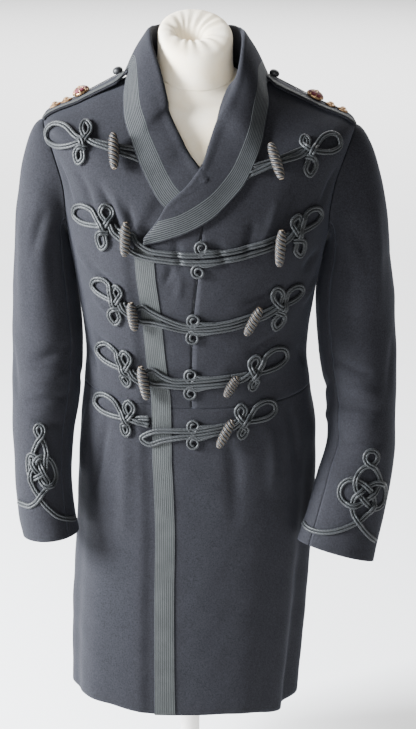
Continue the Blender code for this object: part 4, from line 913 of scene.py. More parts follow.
# Stations from the centre back: base and edge as turn and ring, roll as a point or turn and ring
COLLARS = {
    "right": (
        ((-0.4975, 13.0), (-0.0094, 0.084, 1.270), (-0.4980, 12.0)),
        ((-0.440, 13.0), (-0.042, 0.079, 1.270), (-0.440, 12.0)),
        ((-0.370, 13.0), (-0.066, 0.058, 1.270), (-0.370, 11.9)),
        ((-0.305, 13.0), (-0.0775, 0.030, 1.268), (-0.300, 12.25)),
        ((-0.250, 13.0), (-0.0770, 0.002, 1.262), (-0.245, 12.50)),
        ((-0.200, 13.0), (-0.0720, -0.024, 1.243), (-0.196, 12.36)),
        ((-0.155, 13.0), (-0.0620, -0.046, 1.218), (-0.148, 11.92)),
        ((-0.1150, 12.90), (-0.0540, -0.063, 1.192), (-0.108, 11.30)),
        ((-0.0740, 12.50), (-0.0480, -0.074, 1.168), (-0.084, 10.85)),
        ((-0.0480, 12.00), (-0.0480, 12.00), (-0.0660, 10.50)),
        ((-0.0202, 11.09), (-0.0202, 11.09), (-0.0505, 10.00)),
        ((-0.0100, 10.66), (-0.0100, 10.66), (-0.0430, 9.55)),
        ((-0.0009, 10.27), (-0.0009, 10.27), (-0.0360, 9.18)),
        ((0.0055, 9.95), (0.0055, 9.95), (-0.0280, 8.92)),
    ),
    "left": (
        ((0.4975, 13.0), (-0.0066, 0.084, 1.270), (0.4980, 12.0)),
        ((0.440, 13.0), (0.026, 0.079, 1.270), (0.440, 12.0)),
        ((0.370, 13.0), (0.050, 0.058, 1.270), (0.370, 11.9)),
        ((0.305, 13.0), (0.0625, 0.030, 1.268), (0.300, 12.25)),
        ((0.250, 13.0), (0.0655, 0.002, 1.262), (0.245, 12.38)),
        ((0.195, 13.0), (0.0640, -0.026, 1.243), (0.192, 12.32)),
        ((0.150, 13.0), (0.0600, -0.046, 1.216), (0.140, 11.85)),
        ((0.1080, 12.92), (0.0520, -0.062, 1.186), (0.0980, 11.25)),
        ((0.0583, 12.39), (0.0400, -0.077, 1.163), (0.0720, 10.68)),
        ((0.0265, 11.64), (0.0265, 11.64), (0.0529, 10.21)),
        ((0.0088, 10.85), (0.0088, 10.85), (0.0407, 9.58)),
        ((-0.0005, 10.27), (-0.0005, 10.27), (0.0228, 8.97)),
        ((-0.0116, 9.63), (-0.0116, 9.63), (0.0110, 8.62)),
        ((-0.0295, 9.10), (-0.0295, 9.10), (-0.0060, 8.26)),
        ((-0.0408, 8.60), (-0.0408, 8.60), (-0.0319, 7.99)),
        ((-0.0590, 8.02), (-0.0590, 8.02), (-0.0580, 7.85)),
    ),
}
COLLAR_STEPS, COLLAR_COLUMNS = 12, 44
COLLAR_GAP = 0.0006


def off_body(place, out):
    t, s = np.array(place[0]), np.array(place[1])
    return bare_body(t, s) + out * normals_of(bare_body, t, s, 0.0, NECK)


def collar_section(base, roll, edge, side):
    """Points from the neck seam over the roll to the outer edge."""
    e = off_body(edge, FALL_LOW)
    rolled = len(roll) == 3
    if rolled:
        r = np.array(roll)
        b = off_body(base, 0.002) + np.array((0.0, 0.0, 0.0035))
    else:
        at = (roll[0] - side * ROLL_SHIFT[side], roll[1])
        pressed = side < 0 and roll[1] < PRESSED_BELOW
        r, b = off_body(at, FALL_PRESSED if pressed else FALL_HIGH), off_body(at, -0.0005)
    flat_from = max(0.10, 1 - BRAID_WIDTH / np.linalg.norm(e - r))
    parts = [0.0, flat_from * 0.33, flat_from * 0.66, flat_from, (1 + flat_from) / 2, 1.0]
    t, s = np.array(edge[0]), np.array(min(edge[1], 12.9))
    n = normals_of(bare_body, t, s, 0.0, NECK)
    puff = 0.004 if rolled else 0.0025
    fall = [r + (e - r) * p + n * (puff * math.sin(1.1 * math.pi * p) if p < 0.91 else 0.0) for p in parts]
    return np.array([b, (b + r) / 2] + fall)


def places_on(line, run, at):
    """Rows of a line, given their lengths along it, at other lengths."""
    return np.stack([np.interp(at, run, column) for column in line.T], axis=1)


def resample(points, count):
    """The same open curve through evenly spaced points, smooth at its corners."""
    step = np.maximum(np.linalg.norm(np.diff(points, axis=0), axis=1), 1e-6)
    run = np.concatenate(((0.0,), np.cumsum(step)))
    rate = np.diff(points, axis=0) / step[:, None]
    slope = np.vstack((rate[:1], (rate[1:] + rate[:-1]) / 2, rate[-1:]))
    dense = np.linspace(0, run[-1], count * 4)
    i = np.clip(np.searchsorted(run, dense, side="right") - 1, 0, len(step) - 1)
    h = step[i][:, None]
    u = (dense - run[i])[:, None] / h
    curve = cubic(u, points[i], points[i + 1], h * slope[i], h * slope[i + 1])
    run = arc_of(curve)
    return places_on(curve, run, np.linspace(0, run[-1], count))


def tree_of(grids):
    """Search tree over the faces of several grids of points."""
    spots, faces = [], []
    for grid in grids:
        rows, columns = grid.shape[:2]
        start = len(spots)
        spots.extend(map(tuple, grid.reshape(-1, 3)))
        number = start + np.arange(rows * columns).reshape(rows, columns)
        quads = np.stack((number[:-1, :-1], number[:-1, 1:], number[1:, 1:], number[1:, :-1]), -1)
        faces.extend(map(tuple, quads.reshape(-1, 4).tolist()))
    return BVHTree.FromPolygons(spots, faces)


def keep_clear(points, tree, outward, gap):
    """Moves points out until they lie a gap above the faces of the tree."""
    moved = points.copy()
    for k in np.ndindex(points.shape[:-1]):
        spot = Vector(points[k])
        near, normal, _, away = tree.find_nearest(spot, 0.03)
        if near is None:
            continue
        if normal.dot(Vector(outward[k])) < 0:
            normal = -normal
        high = (spot - near).dot(normal)
        if high < gap:
            moved[k] = np.array(spot + normal * (gap - high))
    return moved


def grid_normals(grid):
    n = np.cross(np.gradient(grid, axis=0), np.gradient(grid, axis=1))
    return n / np.maximum(np.linalg.norm(n, axis=2, keepdims=True), 1e-12)


collar_faces = {}


def make_collar(word, stations):
    """Half of the collar, rolled over and kept clear of what lies under it."""
    side = SIDES[word]
    sections = np.array([collar_section(*row, side) for row in stations])
    last = len(sections) - 1
    fine = rows_at(sections, np.gradient(sections, axis=0), np.linspace(0, last, last * COLLAR_STEPS + 1))
    grid = np.array([resample(row, COLLAR_COLUMNS) for row in fine])
    out = grid_normals(grid) * side
    below = tree_of(coat_faces + list(collar_faces.values()))
    standing = sum(len(row[1]) == 3 for row in stations) * COLLAR_STEPS
    for rows, fall in ((slice(None, standing), COLLAR_COLUMNS // 3),
                       (slice(standing, None), COLLAR_COLUMNS // 7)):
        grid[rows, fall:] = keep_clear(grid[rows, fall:], below, out[rows, fall:], CLOTH + COLLAR_GAP)
    collar_faces[word] = grid
    cloth_piece(f"collar_{word}", grid[:, ::side])


for word, stations in COLLARS.items():
    make_collar(word, stations)


# Braid.
# Flat grey-green mohair braid with fine lengthwise ribs, sewn along the collar's edge and down the front.
# Each rib is woven of slanting threads; the braid lies flat and is cut off by the collar's roll.
RIB_PITCH, RIB_HIGH = 0.0029, 0.00055
COLLAR_BRAID, ROLL_STUB = {"right": 0.033, "left": 0.0295}, 0.0078
BRAID_COLUMNS, BRAID_INSET, BRAID_LIFT = 51, 0.0004, 0.0005
# Front braid: ring of its top end, and turns that its edge keeps behind the cloth's edge
BRAID_END, BRAID_BACK = 7.75, 0.0006
THREAD_PITCH = 0.0016
# Braid colours: painted shade between the ribs, and the paler crowns with painted highlight
BRAID_DEEP = (0.0014, 0.0017, 0.0018, 1)
BRAID_TOP = (0.0290, 0.0335, 0.0330, 1)


def make_ribs():
    """Lengthwise ribs and their slanting threads, from a map in metres."""
    tree, source, sink = effect_group(
        "ribs_and_threads",
        [("Place", "NodeSocketVector", None), ("Rib Pitch", "NodeSocketFloat", RIB_PITCH),
         ("Thread Pitch", "NodeSocketFloat", THREAD_PITCH), ("Slant", "NodeSocketFloat", 1.0)],
        ["Rib", "Thread"])
    axes = add_node(tree, "ShaderNodeSeparateXYZ", {}, Vector=source["Place"]).outputs
    turns = math_node(tree, "DIVIDE", axes["X"], source["Rib Pitch"])
    angle = math_node(tree, "MULTIPLY", turns, math.pi)
    rib = math_node(tree, "ABSOLUTE", math_node(tree, "COSINE", angle))
    slant = math_node(tree, "MULTIPLY", math_node(tree, "PINGPONG", turns, 1.0), source["Slant"])
    row = math_node(tree, "DIVIDE", axes["Y"], source["Thread Pitch"])
    wave = math_node(tree, "MULTIPLY", math_node(tree, "ADD", row, slant), 2 * math.pi)
    thread = math_node(tree, "MULTIPLY_ADD", math_node(tree, "SINE", wave), 0.5, 0.5)
    tree.links.new(rib, sink["Rib"])
    tree.links.new(thread, sink["Thread"])
    return tree


ribs_and_threads = make_ribs()


def make_braid():
    """Ribbed mohair: painted shade makes it dark between the ribs, and painted highlight makes it paler on
    the crowns of its ribs and threads.
    """
    mat, tree, shade, height = begin_material("ribbed_mohair_braid", 1300.0, 45.0, 0.5)
    uv = tree.nodes.new("ShaderNodeUVMap").outputs["UV"]
    weave = add_node(tree, "ShaderNodeGroup", {"node_tree": ribs_and_threads}, Place=uv).outputs
    # Painted shade between the ribs, and painted highlight along the raised threads
    lit = math_node(tree, "MULTIPLY", math_node(tree, "POWER", weave["Rib"], 0.7), shade)
    ribs_and_threads_lit = math_node(tree, "MULTIPLY_ADD", weave["Thread"], 0.06, lit)
    relief = math_node(tree, "ADD", weave["Thread"], height)
    return end_material(mat, ribs_and_threads_lit, ((0.16, BRAID_DEEP), (0.66, BRAID_TOP)), relief, (0.5, 0.0003),
                        Roughness=0.62, Sheen_Weight=0.08, Specular_IOR_Level=0.3)


braid = make_braid()


def rib_height(w):
    return RIB_HIGH * (np.abs(np.cos(np.pi * w / RIB_PITCH)) ** 0.6 - 1)


def braid_uv(w, points):
    """Map of a braid: place across it and length along its first edge."""
    return np.stack((w, np.broadcast_to(arc_of(points[:, 0])[:, None], w.shape)), -1)


def tape_piece(node, points, uv):
    """Braid through a grid of points, in place of its CAD node."""
    piece = grid_mesh(f"{node}_tape", points, uv, BRAID_THICK)
    stand_in_for(piece, node, braid)


def collar_braid(word):
    """Braid along the collar's outer edge, no wider than the fall."""
    side = SIDES[word]
    grid = collar_faces[word]
    rows, widths = [], []
    for line, n in zip(grid[:, ::-1], grid_normals(grid)[:, ::-1] * side):
        run = arc_of(line)
        w = np.linspace(BRAID_INSET, min(COLLAR_BRAID[word], run[-1] - ROLL_STUB), BRAID_COLUMNS)
        high = SEAM_GAP + BRAID_THICK + rib_height(w)
        rows.append(places_on(line, run, w) + places_on(n, run, w) * high[:, None])
        widths.append(w)
    points = np.array(rows)
    uv = braid_uv(np.array(widths), points)
    tape_piece(f"collar_braid_{word}", points[:, ::-side], uv[:, ::-side])


def front_braid():
    """Braid from the hem up the left front's edge, as far as the collar's tip."""
    rows = even_rows(RING_GAP, BRAID_END, 0.0)
    edge = along(FRONT_EDGE, rows) + BRAID_BACK
    span = np.linalg.norm(bare_body(edge + 0.01, rows) - bare_body(edge, rows), axis=-1) / 0.01
    w = np.broadcast_to(np.linspace(0.0, BRAID_WIDTH, BRAID_COLUMNS), (len(rows), BRAID_COLUMNS))
    t = edge[:, None] + w / span[:, None]
    s = np.broadcast_to(rows[:, None], t.shape)
    points = coat_point(t, s, BRAID_LIFT + BRAID_THICK + rib_height(w))
    tape_piece("front_braid", points, braid_uv(w, points))


for word in SIDES:
    collar_braid(word)
front_braid()


# Shoulder straps.
# Wool straps edged with narrow braid, pointed at the collar end and held there by a netted button.
# Each carries a gilt crown with a crimson cap and two gilt pips, all of plain traditional shape.
STRAP_HALF, STRAP_THICK, STRAP_LIFT = 0.027, 0.0022, 0.0012
STRAP_RINGS, STRAP_RISE = (10.10, 12.55), 0.0070
STRAP_BRAID_HALF, STRAP_BRAID_PITCH = 0.0040, 0.0027
STRAP_ROUTE = ((-0.0215, 10.10), (-0.0215, 10.7), (-0.0215, 11.4), (-0.0210, 12.05), (-0.0150, 12.28),
               (-0.0070, 12.38), (0.0, 12.41), (0.0070, 12.38), (0.0150, 12.28), (0.0210, 12.05),
               (0.0215, 11.4), (0.0215, 10.7), (0.0215, 10.10))
STRAP_TAPER_FROM, STRAP_TAPER = 12.10, 0.62
STRAP_TOP = STRAP_LIFT + STRAP_THICK
CROWN_X, PIP_X, BUTTON_X = 0.1765, (("pip_inner", 0.2015), ("pip_outer", 0.2195)), 0.1145
BADGE_SCALE, BADGE_LIFT, PIP_TURN = 1.18, 0.0004, 0.4
# Turned shapes of the badges and the button, as (height, radius) rows
PIP_RAYS = ((0.0, 0.0085), (0.0018, 0.0085), (0.0036, 0.0040))
PIP_BOSS = ((0.0034, 0.0038), (0.0046, 0.0036), (0.0054, 0.0022), (0.0057, 0.0006))
CROWN_BAND = ((0.0, 0.0098), (0.0006, 0.0103), (0.0028, 0.0103), (0.0034, 0.0098))
CROWN_CAP = ((0.0030, 0.0088), (0.0052, 0.0104), (0.0072, 0.0098), (0.0086, 0.0070), (0.0092, 0.0030))
CROWN_BALL = ((0.0088, 0.0010), (0.0093, 0.0019), (0.0102, 0.0022), (0.0111, 0.0016), (0.0114, 0.0005))
BUTTON_SHAPE = ((0.0, 0.0045), (0.0010, 0.0072), (0.0030, 0.0079), (0.0052, 0.0079), (0.0074, 0.0068),
                (0.0092, 0.0046), (0.0100, 0.0022))
GILT_BRIGHT = (0.400, 0.250, 0.130, 1)
GILT_DULL = (0.110, 0.060, 0.035, 1)
CRIMSON = (0.120, 0.006, 0.018, 1)
CRIMSON_DEEP = (0.040, 0.003, 0.008, 1)
SILK_DARK = (0.0022, 0.0023, 0.0028, 1)
SILK_LIGHT = (0.0100, 0.0104, 0.0122, 1)


def strap_point(side, across, s, out=0.0):
    """Point of the shoulder, a distance behind the ridge at ring s."""
    across, s = np.broadcast_arrays(np.asarray(across, float), np.asarray(s, float))
    row = rows_at(RINGS, RING_SLOPES, s)
    depth = np.where(across < 0, row[..., 4], row[..., 5])
    turn = np.arcsin(np.clip((np.abs(across) / depth) ** (row[..., 8] / 2), 0, 1)) / (2 * np.pi)
    t = side * (0.25 + np.sign(across) * turn)
    rise = STRAP_RISE * np.clip((s - 10.9) / (STRAP_RINGS[1] - 10.9), 0, 1) ** 1.3
    out = np.asarray(out) + rise
    return bare_body(t, s) + out[..., None] * normals_of(bare_body, t, s, 0.0, NECK)


def above_strap(side, across, s, high):
    """Point a height above the shoulder, and the way up from it."""
    middle = strap_point(side, across, s, np.full(np.shape(s), high))
    return middle, (strap_point(side, across, s, np.full(np.shape(s), high + 0.001)) - middle) / 0.001


def ridge_ring(x):
    """Ring whose shoulder ridge lies this far from the middle."""
    rings = np.linspace(10.0, 12.8, 400)
    return float(np.interp(-x, -rows_at(RINGS, RING_SLOPES, rings)[:, 3], rings))


gilt = napped_material("worn_gilt", (900.0, 260.0, 0.6), ((0.36, GILT_DULL), (0.60, GILT_BRIGHT)),
                       (0.4, 0.0004), Metallic=0.85, Roughness=0.38)
crimson = napped_material("crimson_velvet", (1500.0, 300.0, 0.5), ((0.35, CRIMSON_DEEP), (0.60, CRIMSON)),
                          None, Roughness=0.8, Sheen_Weight=0.1)
silk = napped_material("corded_black_silk", (1800.0, 220.0, 0.4), ((0.34, SILK_DARK), (0.66, SILK_LIGHT)),
                       (0.5, 0.0003), Roughness=0.48, Specular_IOR_Level=0.4)


def strap_cloth(word):
    side = SIDES[word]
    s = np.linspace(*STRAP_RINGS, 56)
    taper = np.clip((s - STRAP_TAPER_FROM) / (STRAP_RINGS[1] - STRAP_TAPER_FROM), 0, 1)
    half = STRAP_HALF * (1 - STRAP_TAPER * taper)
    across = half[:, None] * np.linspace(-1, 1, 22)
    points = strap_point(side, across, np.broadcast_to(s[:, None], across.shape), STRAP_TOP)
    cloth_piece(f"shoulder_strap_{word}", points[:, ::side], STRAP_THICK)


def strap_braid(word):
    """Narrow braid round the strap's edge, laid along a route of places across and rings."""
    route = np.array(STRAP_ROUTE)
    path = rows_at(route, np.gradient(route, axis=0), np.linspace(0, len(route) - 1, 150))
    top = STRAP_TOP + BRAID_LIFT + BRAID_THICK
    middle, up = above_strap(SIDES[word], path[:, 0], path[:, 1], top)
    across = np.cross(up, np.gradient(middle, axis=0))
    across /= np.linalg.norm(across, axis=1, keepdims=True)
    w = np.linspace(-STRAP_BRAID_HALF, STRAP_BRAID_HALF, 19)
    rise = 0.7 * rib_height(w * RIB_PITCH / STRAP_BRAID_PITCH)
    points = middle[:, None] + across[:, None] * w[:, None] + up[:, None] * rise[:, None]
    uv = braid_uv(np.broadcast_to(w, points.shape[:2]), points)
    uv[..., 0] *= RIB_PITCH / STRAP_BRAID_PITCH
    tape_piece(f"strap_braid_{word}", points[:, ::-1], uv[:, ::-1])


def join_pieces(name, pieces):
    """Several pieces as one, with its object at the origin."""
    bpy.ops.object.select_all(action="DESELECT")
    for piece in pieces:
        piece.select_set(True)
    bpy.context.view_layer.objects.active = pieces[0]
    bpy.ops.object.join()
    joined = bpy.context.object
    joined.name = name
    joined.data.name = name
    joined.select_set(False)
    return joined


def seat(piece, place, up, turn=0.0):
    """Puts a piece made round the origin on its place, standing along up."""
    rest = Vector(up).to_track_quat("Z", "Y").to_matrix().to_4x4()
    piece.data.transform(Matrix.Translation(place) @ rest @ Matrix.Rotation(turn, 4, "Z"))
    piece.data.update()


def turned(name, shape, sides):
    """Turned piece on the Z axis, from (height, radius) rows, by extruding and scaling rings."""
    bpy.ops.mesh.primitive_circle_add(vertices=sides, radius=shape[0][1], fill_type="NGON",
                                      location=(0, 0, shape[0][0]))
    piece = bpy.context.object
    piece.name = name
    bpy.ops.object.transform_apply(location=True)
    bpy.ops.object.mode_set(mode="EDIT")
    bpy.ops.mesh.select_all(action="SELECT")
    for (low, wide), (high, narrow) in zip(shape, shape[1:]):
        bpy.ops.mesh.extrude_region_move(TRANSFORM_OT_translate={"value": (0, 0, high - low)})
        scale = narrow / wide
        bpy.ops.transform.resize(value=(scale, scale, 1.0), center_override=(0, 0, high))
    bpy.ops.mesh.select_all(action="SELECT")
    bpy.ops.mesh.normals_make_consistent(inside=False)
    bpy.ops.object.mode_set(mode="OBJECT")
    bpy.ops.object.shade_smooth_by_angle(angle=math.radians(40))
    piece.select_set(False)
    return piece


def make_pip(name):
    """Square star of four broad and four narrow rays with a round boss."""
    rays = turned(name, PIP_RAYS, 16)
    for vertex in rays.data.vertices:
        spot = vertex.co.xy
        if spot.length > 0.0045:
            number = round(math.atan2(spot.y, spot.x) / (math.pi / 8)) % 4
            vertex.co.xy = spot * {0: 1.0, 1: 0.66, 2: 0.86, 3: 0.66}[number]
    boss = turned(name + "_boss", PIP_BOSS, 16)
    boss.data.materials.append(gilt)
    rays.data.materials.append(gilt)
    return join_pieces(name, [rays, boss])


def make_crown(name):
    """Crown of a band, four arches with a small ball on top, and a padded crimson cap inside."""
    band = turned(name, CROWN_BAND, 32)
    cap = turned(name + "_cap", CROWN_CAP, 32)
    ball = turned(name + "_ball", CROWN_BALL, 16)
    parts = [band, ball]
    for k in range(4):
        bpy.ops.mesh.primitive_torus_add(major_radius=0.0070, minor_radius=0.0010, major_segments=24,
                                         minor_segments=8, location=(0, 0, 0.0030),
                                         rotation=(math.pi / 2, 0, k * math.pi / 4))
        arch = bpy.context.object
        arch.scale = (1.5, 0.95, 1.0)
        bpy.ops.object.transform_apply(location=True, rotation=True, scale=True)
        bpy.ops.object.mode_set(mode="EDIT")
        bpy.ops.mesh.select_all(action="SELECT")
        bpy.ops.mesh.bisect(plane_co=(0, 0, 0.0020), plane_no=(0, 0, 1), use_fill=True, clear_inner=True)
        bpy.ops.object.mode_set(mode="OBJECT")
        bpy.ops.object.shade_smooth()
        parts.append(arch)
    for part in parts:
        part.data.materials.append(gilt)
    cap.data.materials.append(crimson)
    return join_pieces(name, parts + [cap])


def make_button(name):
    """Round button covered with netted silk cord."""
    button = turned(name, BUTTON_SHAPE, 32)
    for vertex in button.data.vertices:
        angle = math.atan2(vertex.co.y, vertex.co.x)
        net = math.sin(8 * angle + vertex.co.z * 1400) * math.sin(8 * angle - vertex.co.z * 1400)
        vertex.co.xy *= 1 + 0.05 * net
    button.data.materials.append(silk)
    return button


def place_badge(word, kind, x, make, top, turn=0.0):
    """Makes a badge or button and sets it on the strap's middle, x from the coat's middle."""
    spot, up = above_strap(SIDES[word], 0.0005, ridge_ring(x), top)
    piece = make(f"{kind}_{word}_worn")
    if kind != "strap_button":
        piece.data.transform(Matrix.Scale(BADGE_SCALE, 4))
    seat(piece, spot, up / np.linalg.norm(up), turn)
    place_in_frame(piece, f"{kind}_{word}")


for word in SIDES:
    strap_cloth(word)
    strap_braid(word)
    place_badge(word, "crown", CROWN_X, make_crown, STRAP_TOP + BADGE_LIFT)
    for kind, x in PIP_X:
        place_badge(word, kind, x, make_pip, STRAP_TOP + BADGE_LIFT, PIP_TURN)
    place_badge(word, "strap_button", BUTTON_X, make_button, STRAP_TOP + BRAID_THICK + 0.0012)


# Frogging cords.
# Black mohair cord laid double and sewn down: knots with two curls and an outer loop at each side,
# straight runs across the front with a spiral above and below, and knots on the cuffs.
CORD_RADIUS, CORD_APART, CORD_SIDES, CORD_STEP = 0.00215, 0.00225, 10, 0.0016
TRIM_LIFT, CUFF_LIFT = 0.0009, 0.0014
# Runs rise over the front braid, within this reach of its edges
OVER_BRAID, RISE_FROM, RISE_REACH = 0.0014, 0.002, 0.035
# Woven cords rise over a crossing, from full height to none at these lengths from it
WEAVE_HIGH, WEAVE_FULL, WEAVE_NONE = 0.0037, 0.0040, 0.0125
# Where a knot's upper cord comes down to the cloth at its end, and an end sinks under the collar
FADE_LENGTH, SINK_LENGTH = 0.012, 0.009
LAYER_HIGH, LAYER_MOST = 0.0031, 0.0066
END_SUNK, CROSSING_APART = 0.0030, 6
NEAR_LAYER, FAR_LAYER, LAYER_GAP = 0.0050, 0.0096, 0.018
STRANDS, STRAND_PITCH, STRAND_DEEP = 3, 0.0052, 0.07
# Cord colours: painted shade in the grooves between strands, and the strands' crowns with painted highlight
CORD_DEEP = (0.0012, 0.0013, 0.0016, 1)
CORD_TOP = (0.0170, 0.0198, 0.0218, 1)
# Knots: crossing, loop tip, upper and lower curl centres, upper and lower ends, each x and z
KNOTS = {
    "right_1": ((-0.171, 1.1080), (-0.2235, 1.100), (-0.1675, 1.1255), (-0.1755, 1.0895),
                (-0.0905, 1.1000), (-0.0880, 1.0870)),
    "right_2": ((-0.136, 0.9890), (-0.1830, 0.991), (-0.1345, 1.0090), (-0.1398, 0.9670),
                (-0.1100, 0.9810), (-0.1100, 0.9690)),
    "right_3": ((-0.1205, 0.8710), (-0.1570, 0.888), (-0.1180, 0.8880), (-0.1205, 0.8495),
                (-0.0990, 0.8625), (-0.0980, 0.8505)),
    "right_4": ((-0.1070, 0.7610), (-0.1505, 0.779), (-0.1045, 0.7810), (-0.1040, 0.7460),
                (-0.0820, 0.7540), (-0.0810, 0.7425)),
    "right_5": ((-0.1035, 0.6830), (-0.1520, 0.693), (-0.0985, 0.7015), (-0.1035, 0.6675),
                (-0.0700, 0.6880), (-0.0700, 0.6765)),
    "left_1": ((0.1660, 1.1015), (0.2080, 1.102), (0.1580, 1.1125), (0.1660, 1.0800),
               (0.0760, 1.0780), (0.0720, 1.0670)),
    "left_2": ((0.1490, 0.9800), (0.1860, 0.999), (0.1470, 0.9980), (0.1530, 0.9585),
               (0.1190, 0.9750), (0.1190, 0.9630)),
    "left_3": ((0.1300, 0.8665), (0.1610, 0.883), (0.1215, 0.8860), (0.1245, 0.8450),
               (0.0840, 0.8562), (0.0840, 0.8455)),
    "left_4": ((0.0910, 0.7600), (0.1390, 0.777), (0.0895, 0.7795), (0.0890, 0.7455),
               (0.0560, 0.7577), (0.0560, 0.7465)),
    "left_5": ((0.0770, 0.6845), (0.1225, 0.694), (0.0705, 0.7020), (0.0745, 0.6695),
               (0.0465, 0.6790), (0.0465, 0.6690)),
}
# Shape of a knot: shares along its arm and to the side, for the upper curl, outer loop and lower curl
UPPER_CURL = ((0.15, 0.33), (0.50, -0.14), (0.97, -0.43), (1.45, -0.24), (1.17, 0.26), (0.63, 0.30),
              (0.0, 0.03))
OUTER_LOOP = ((0.21, -0.03), (0.48, -0.07), (0.82, -0.06), (1.06, 0.08), (1.05, 0.35), (0.83, 0.49),
              (0.52, 0.43), (0.26, 0.18))
LOWER_CURL = ((0.11, -0.10), (0.67, 0.14), (1.21, 0.30), (1.62, 0.01), (1.17, -0.35), (0.75, -0.38),
              (0.47, -0.06), (0.40, 0.30))
# Runs across the front: upper run, left end, lower run, centres of the spirals above and below
CROSSINGS = {
    2: (((0.1170, 0.9758), (0.0631, 0.9607), (0.0230, 0.9545), (-0.0150, 0.9525), (-0.0468, 0.9545),
         (-0.0700, 0.9580), (-0.0880, 0.9690), (-0.0965, 0.9800)), (-0.1055, 0.9720),
        ((-0.0990, 0.9570), (-0.0800, 0.9480), (-0.0467, 0.9435), (-0.0150, 0.9410), (0.0230, 0.9425),
         (0.0631, 0.9490), (0.1170, 0.9638)), (0.0077, 0.9645), (0.0031, 0.9275)),
    3: (((0.0820, 0.8555), (0.0500, 0.8465), (0.0130, 0.8412), (-0.0150, 0.8412), (-0.0439, 0.8512),
         (-0.0687, 0.8629), (-0.0800, 0.8695)), (-0.0940, 0.8590),
        ((-0.0820, 0.8450), (-0.0687, 0.8440), (-0.0439, 0.8398), (-0.0150, 0.8322), (0.0130, 0.8320),
         (0.0500, 0.8370), (0.0820, 0.8450)), (-0.0023, 0.8505), (-0.0033, 0.8215)),
    4: (((0.0540, 0.7575), (0.0300, 0.7550), (0.0090, 0.7525), (-0.0150, 0.7508), (-0.0300, 0.7508),
         (-0.0475, 0.7570), (-0.0660, 0.7670)), (-0.0780, 0.7580),
        ((-0.0660, 0.7450), (-0.0480, 0.7436), (-0.0300, 0.7420), (-0.0150, 0.7412), (0.0090, 0.7425),
         (0.0300, 0.7445), (0.0540, 0.7465)), (-0.0055, 0.7600), (-0.0055, 0.7310)),
    5: (((0.0445, 0.6790), (0.0270, 0.6757), (0.0080, 0.6722), (-0.0180, 0.6705), (-0.0400, 0.6702),
         (-0.0620, 0.6672)), (-0.0800, 0.6550),
        ((-0.0680, 0.6470), (-0.0480, 0.6540), (-0.0180, 0.6605), (0.0080, 0.6628), (0.0270, 0.6660),
         (0.0445, 0.6690)), (0.0000, 0.6785), (0.0000, 0.6515)),
}
SPIRAL_OUTER, SPIRAL_INNER, SPIRAL_TURNS, SPIRAL_CORD = 0.0112, 0.0036, 1.5, 0.0021
# Cuff knots on the sleeve laid flat: metres outward from its front line, metres above its edge
CUFF_PATHS = {
    "right": ((-0.058, 0.030), (-0.044, 0.031), (-0.021, 0.038), (-0.009, 0.050), (0.000, 0.064),
              (0.005, 0.075), (0.011, 0.087), (0.0135, 0.102), (0.012, 0.113), (0.007, 0.122),
              (0.003, 0.131), (-0.0045, 0.134), (-0.014, 0.130), (-0.022, 0.115), (-0.023, 0.100),
              (-0.0155, 0.088), (-0.007, 0.088), (-0.001, 0.0955), (0.001, 0.1055), (0.0065, 0.115),
              (0.0105, 0.125), (0.0098, 0.137), (0.003, 0.156), (-0.003, 0.165), (-0.006, 0.173),
              (-0.003, 0.182), (0.003, 0.1825), (0.006, 0.176), (0.002, 0.167), (-0.005, 0.158),
              (-0.0095, 0.142), (-0.008, 0.127), (-0.008, 0.114), (-0.003, 0.1065), (0.003, 0.103),
              (0.010, 0.1005), (0.0155, 0.107), (0.0178, 0.118), (0.017, 0.132), (0.011, 0.138),
              (0.004, 0.134), (0.000, 0.122), (-0.004, 0.1115), (-0.008, 0.101), (-0.0115, 0.094),
              (-0.008, 0.084), (-0.0015, 0.076), (0.0085, 0.064), (0.0195, 0.0585), (0.032, 0.0615),
              (0.050, 0.067)),
    "left": ((-0.070, 0.0335), (-0.0565, 0.0275), (-0.041, 0.0265), (-0.024, 0.030), (-0.006, 0.039),
             (0.007, 0.049), (0.0185, 0.059), (0.028, 0.071), (0.034, 0.082), (0.0365, 0.096),
             (0.028, 0.108), (0.015, 0.1175), (0.0015, 0.122), (-0.011, 0.1205), (-0.0205, 0.108),
             (-0.0185, 0.092), (-0.007, 0.0825), (0.004, 0.0815), (0.013, 0.086), (0.021, 0.0945),
             (0.0275, 0.103), (0.035, 0.1135), (0.0405, 0.125), (0.033, 0.138), (0.0205, 0.147),
             (0.0095, 0.151), (0.004, 0.160), (0.007, 0.169), (0.0165, 0.171), (0.0235, 0.1645),
             (0.023, 0.156), (0.0165, 0.150), (0.0065, 0.144), (0.000, 0.132), (-0.0015, 0.118),
             (0.004, 0.106), (0.015, 0.0965), (0.026, 0.089), (0.039, 0.0855), (0.053, 0.091),
             (0.060, 0.103), (0.056, 0.119), (0.0445, 0.1255), (0.0325, 0.125), (0.0195, 0.117),
             (0.0095, 0.106), (0.003, 0.0965), (0.003, 0.084), (0.0065, 0.072), (0.0165, 0.060),
             (0.030, 0.050), (0.044, 0.042), (0.060, 0.036)),
}
SLEEVE_SAMPLES = np.linspace(-0.10, 0.70, 161)


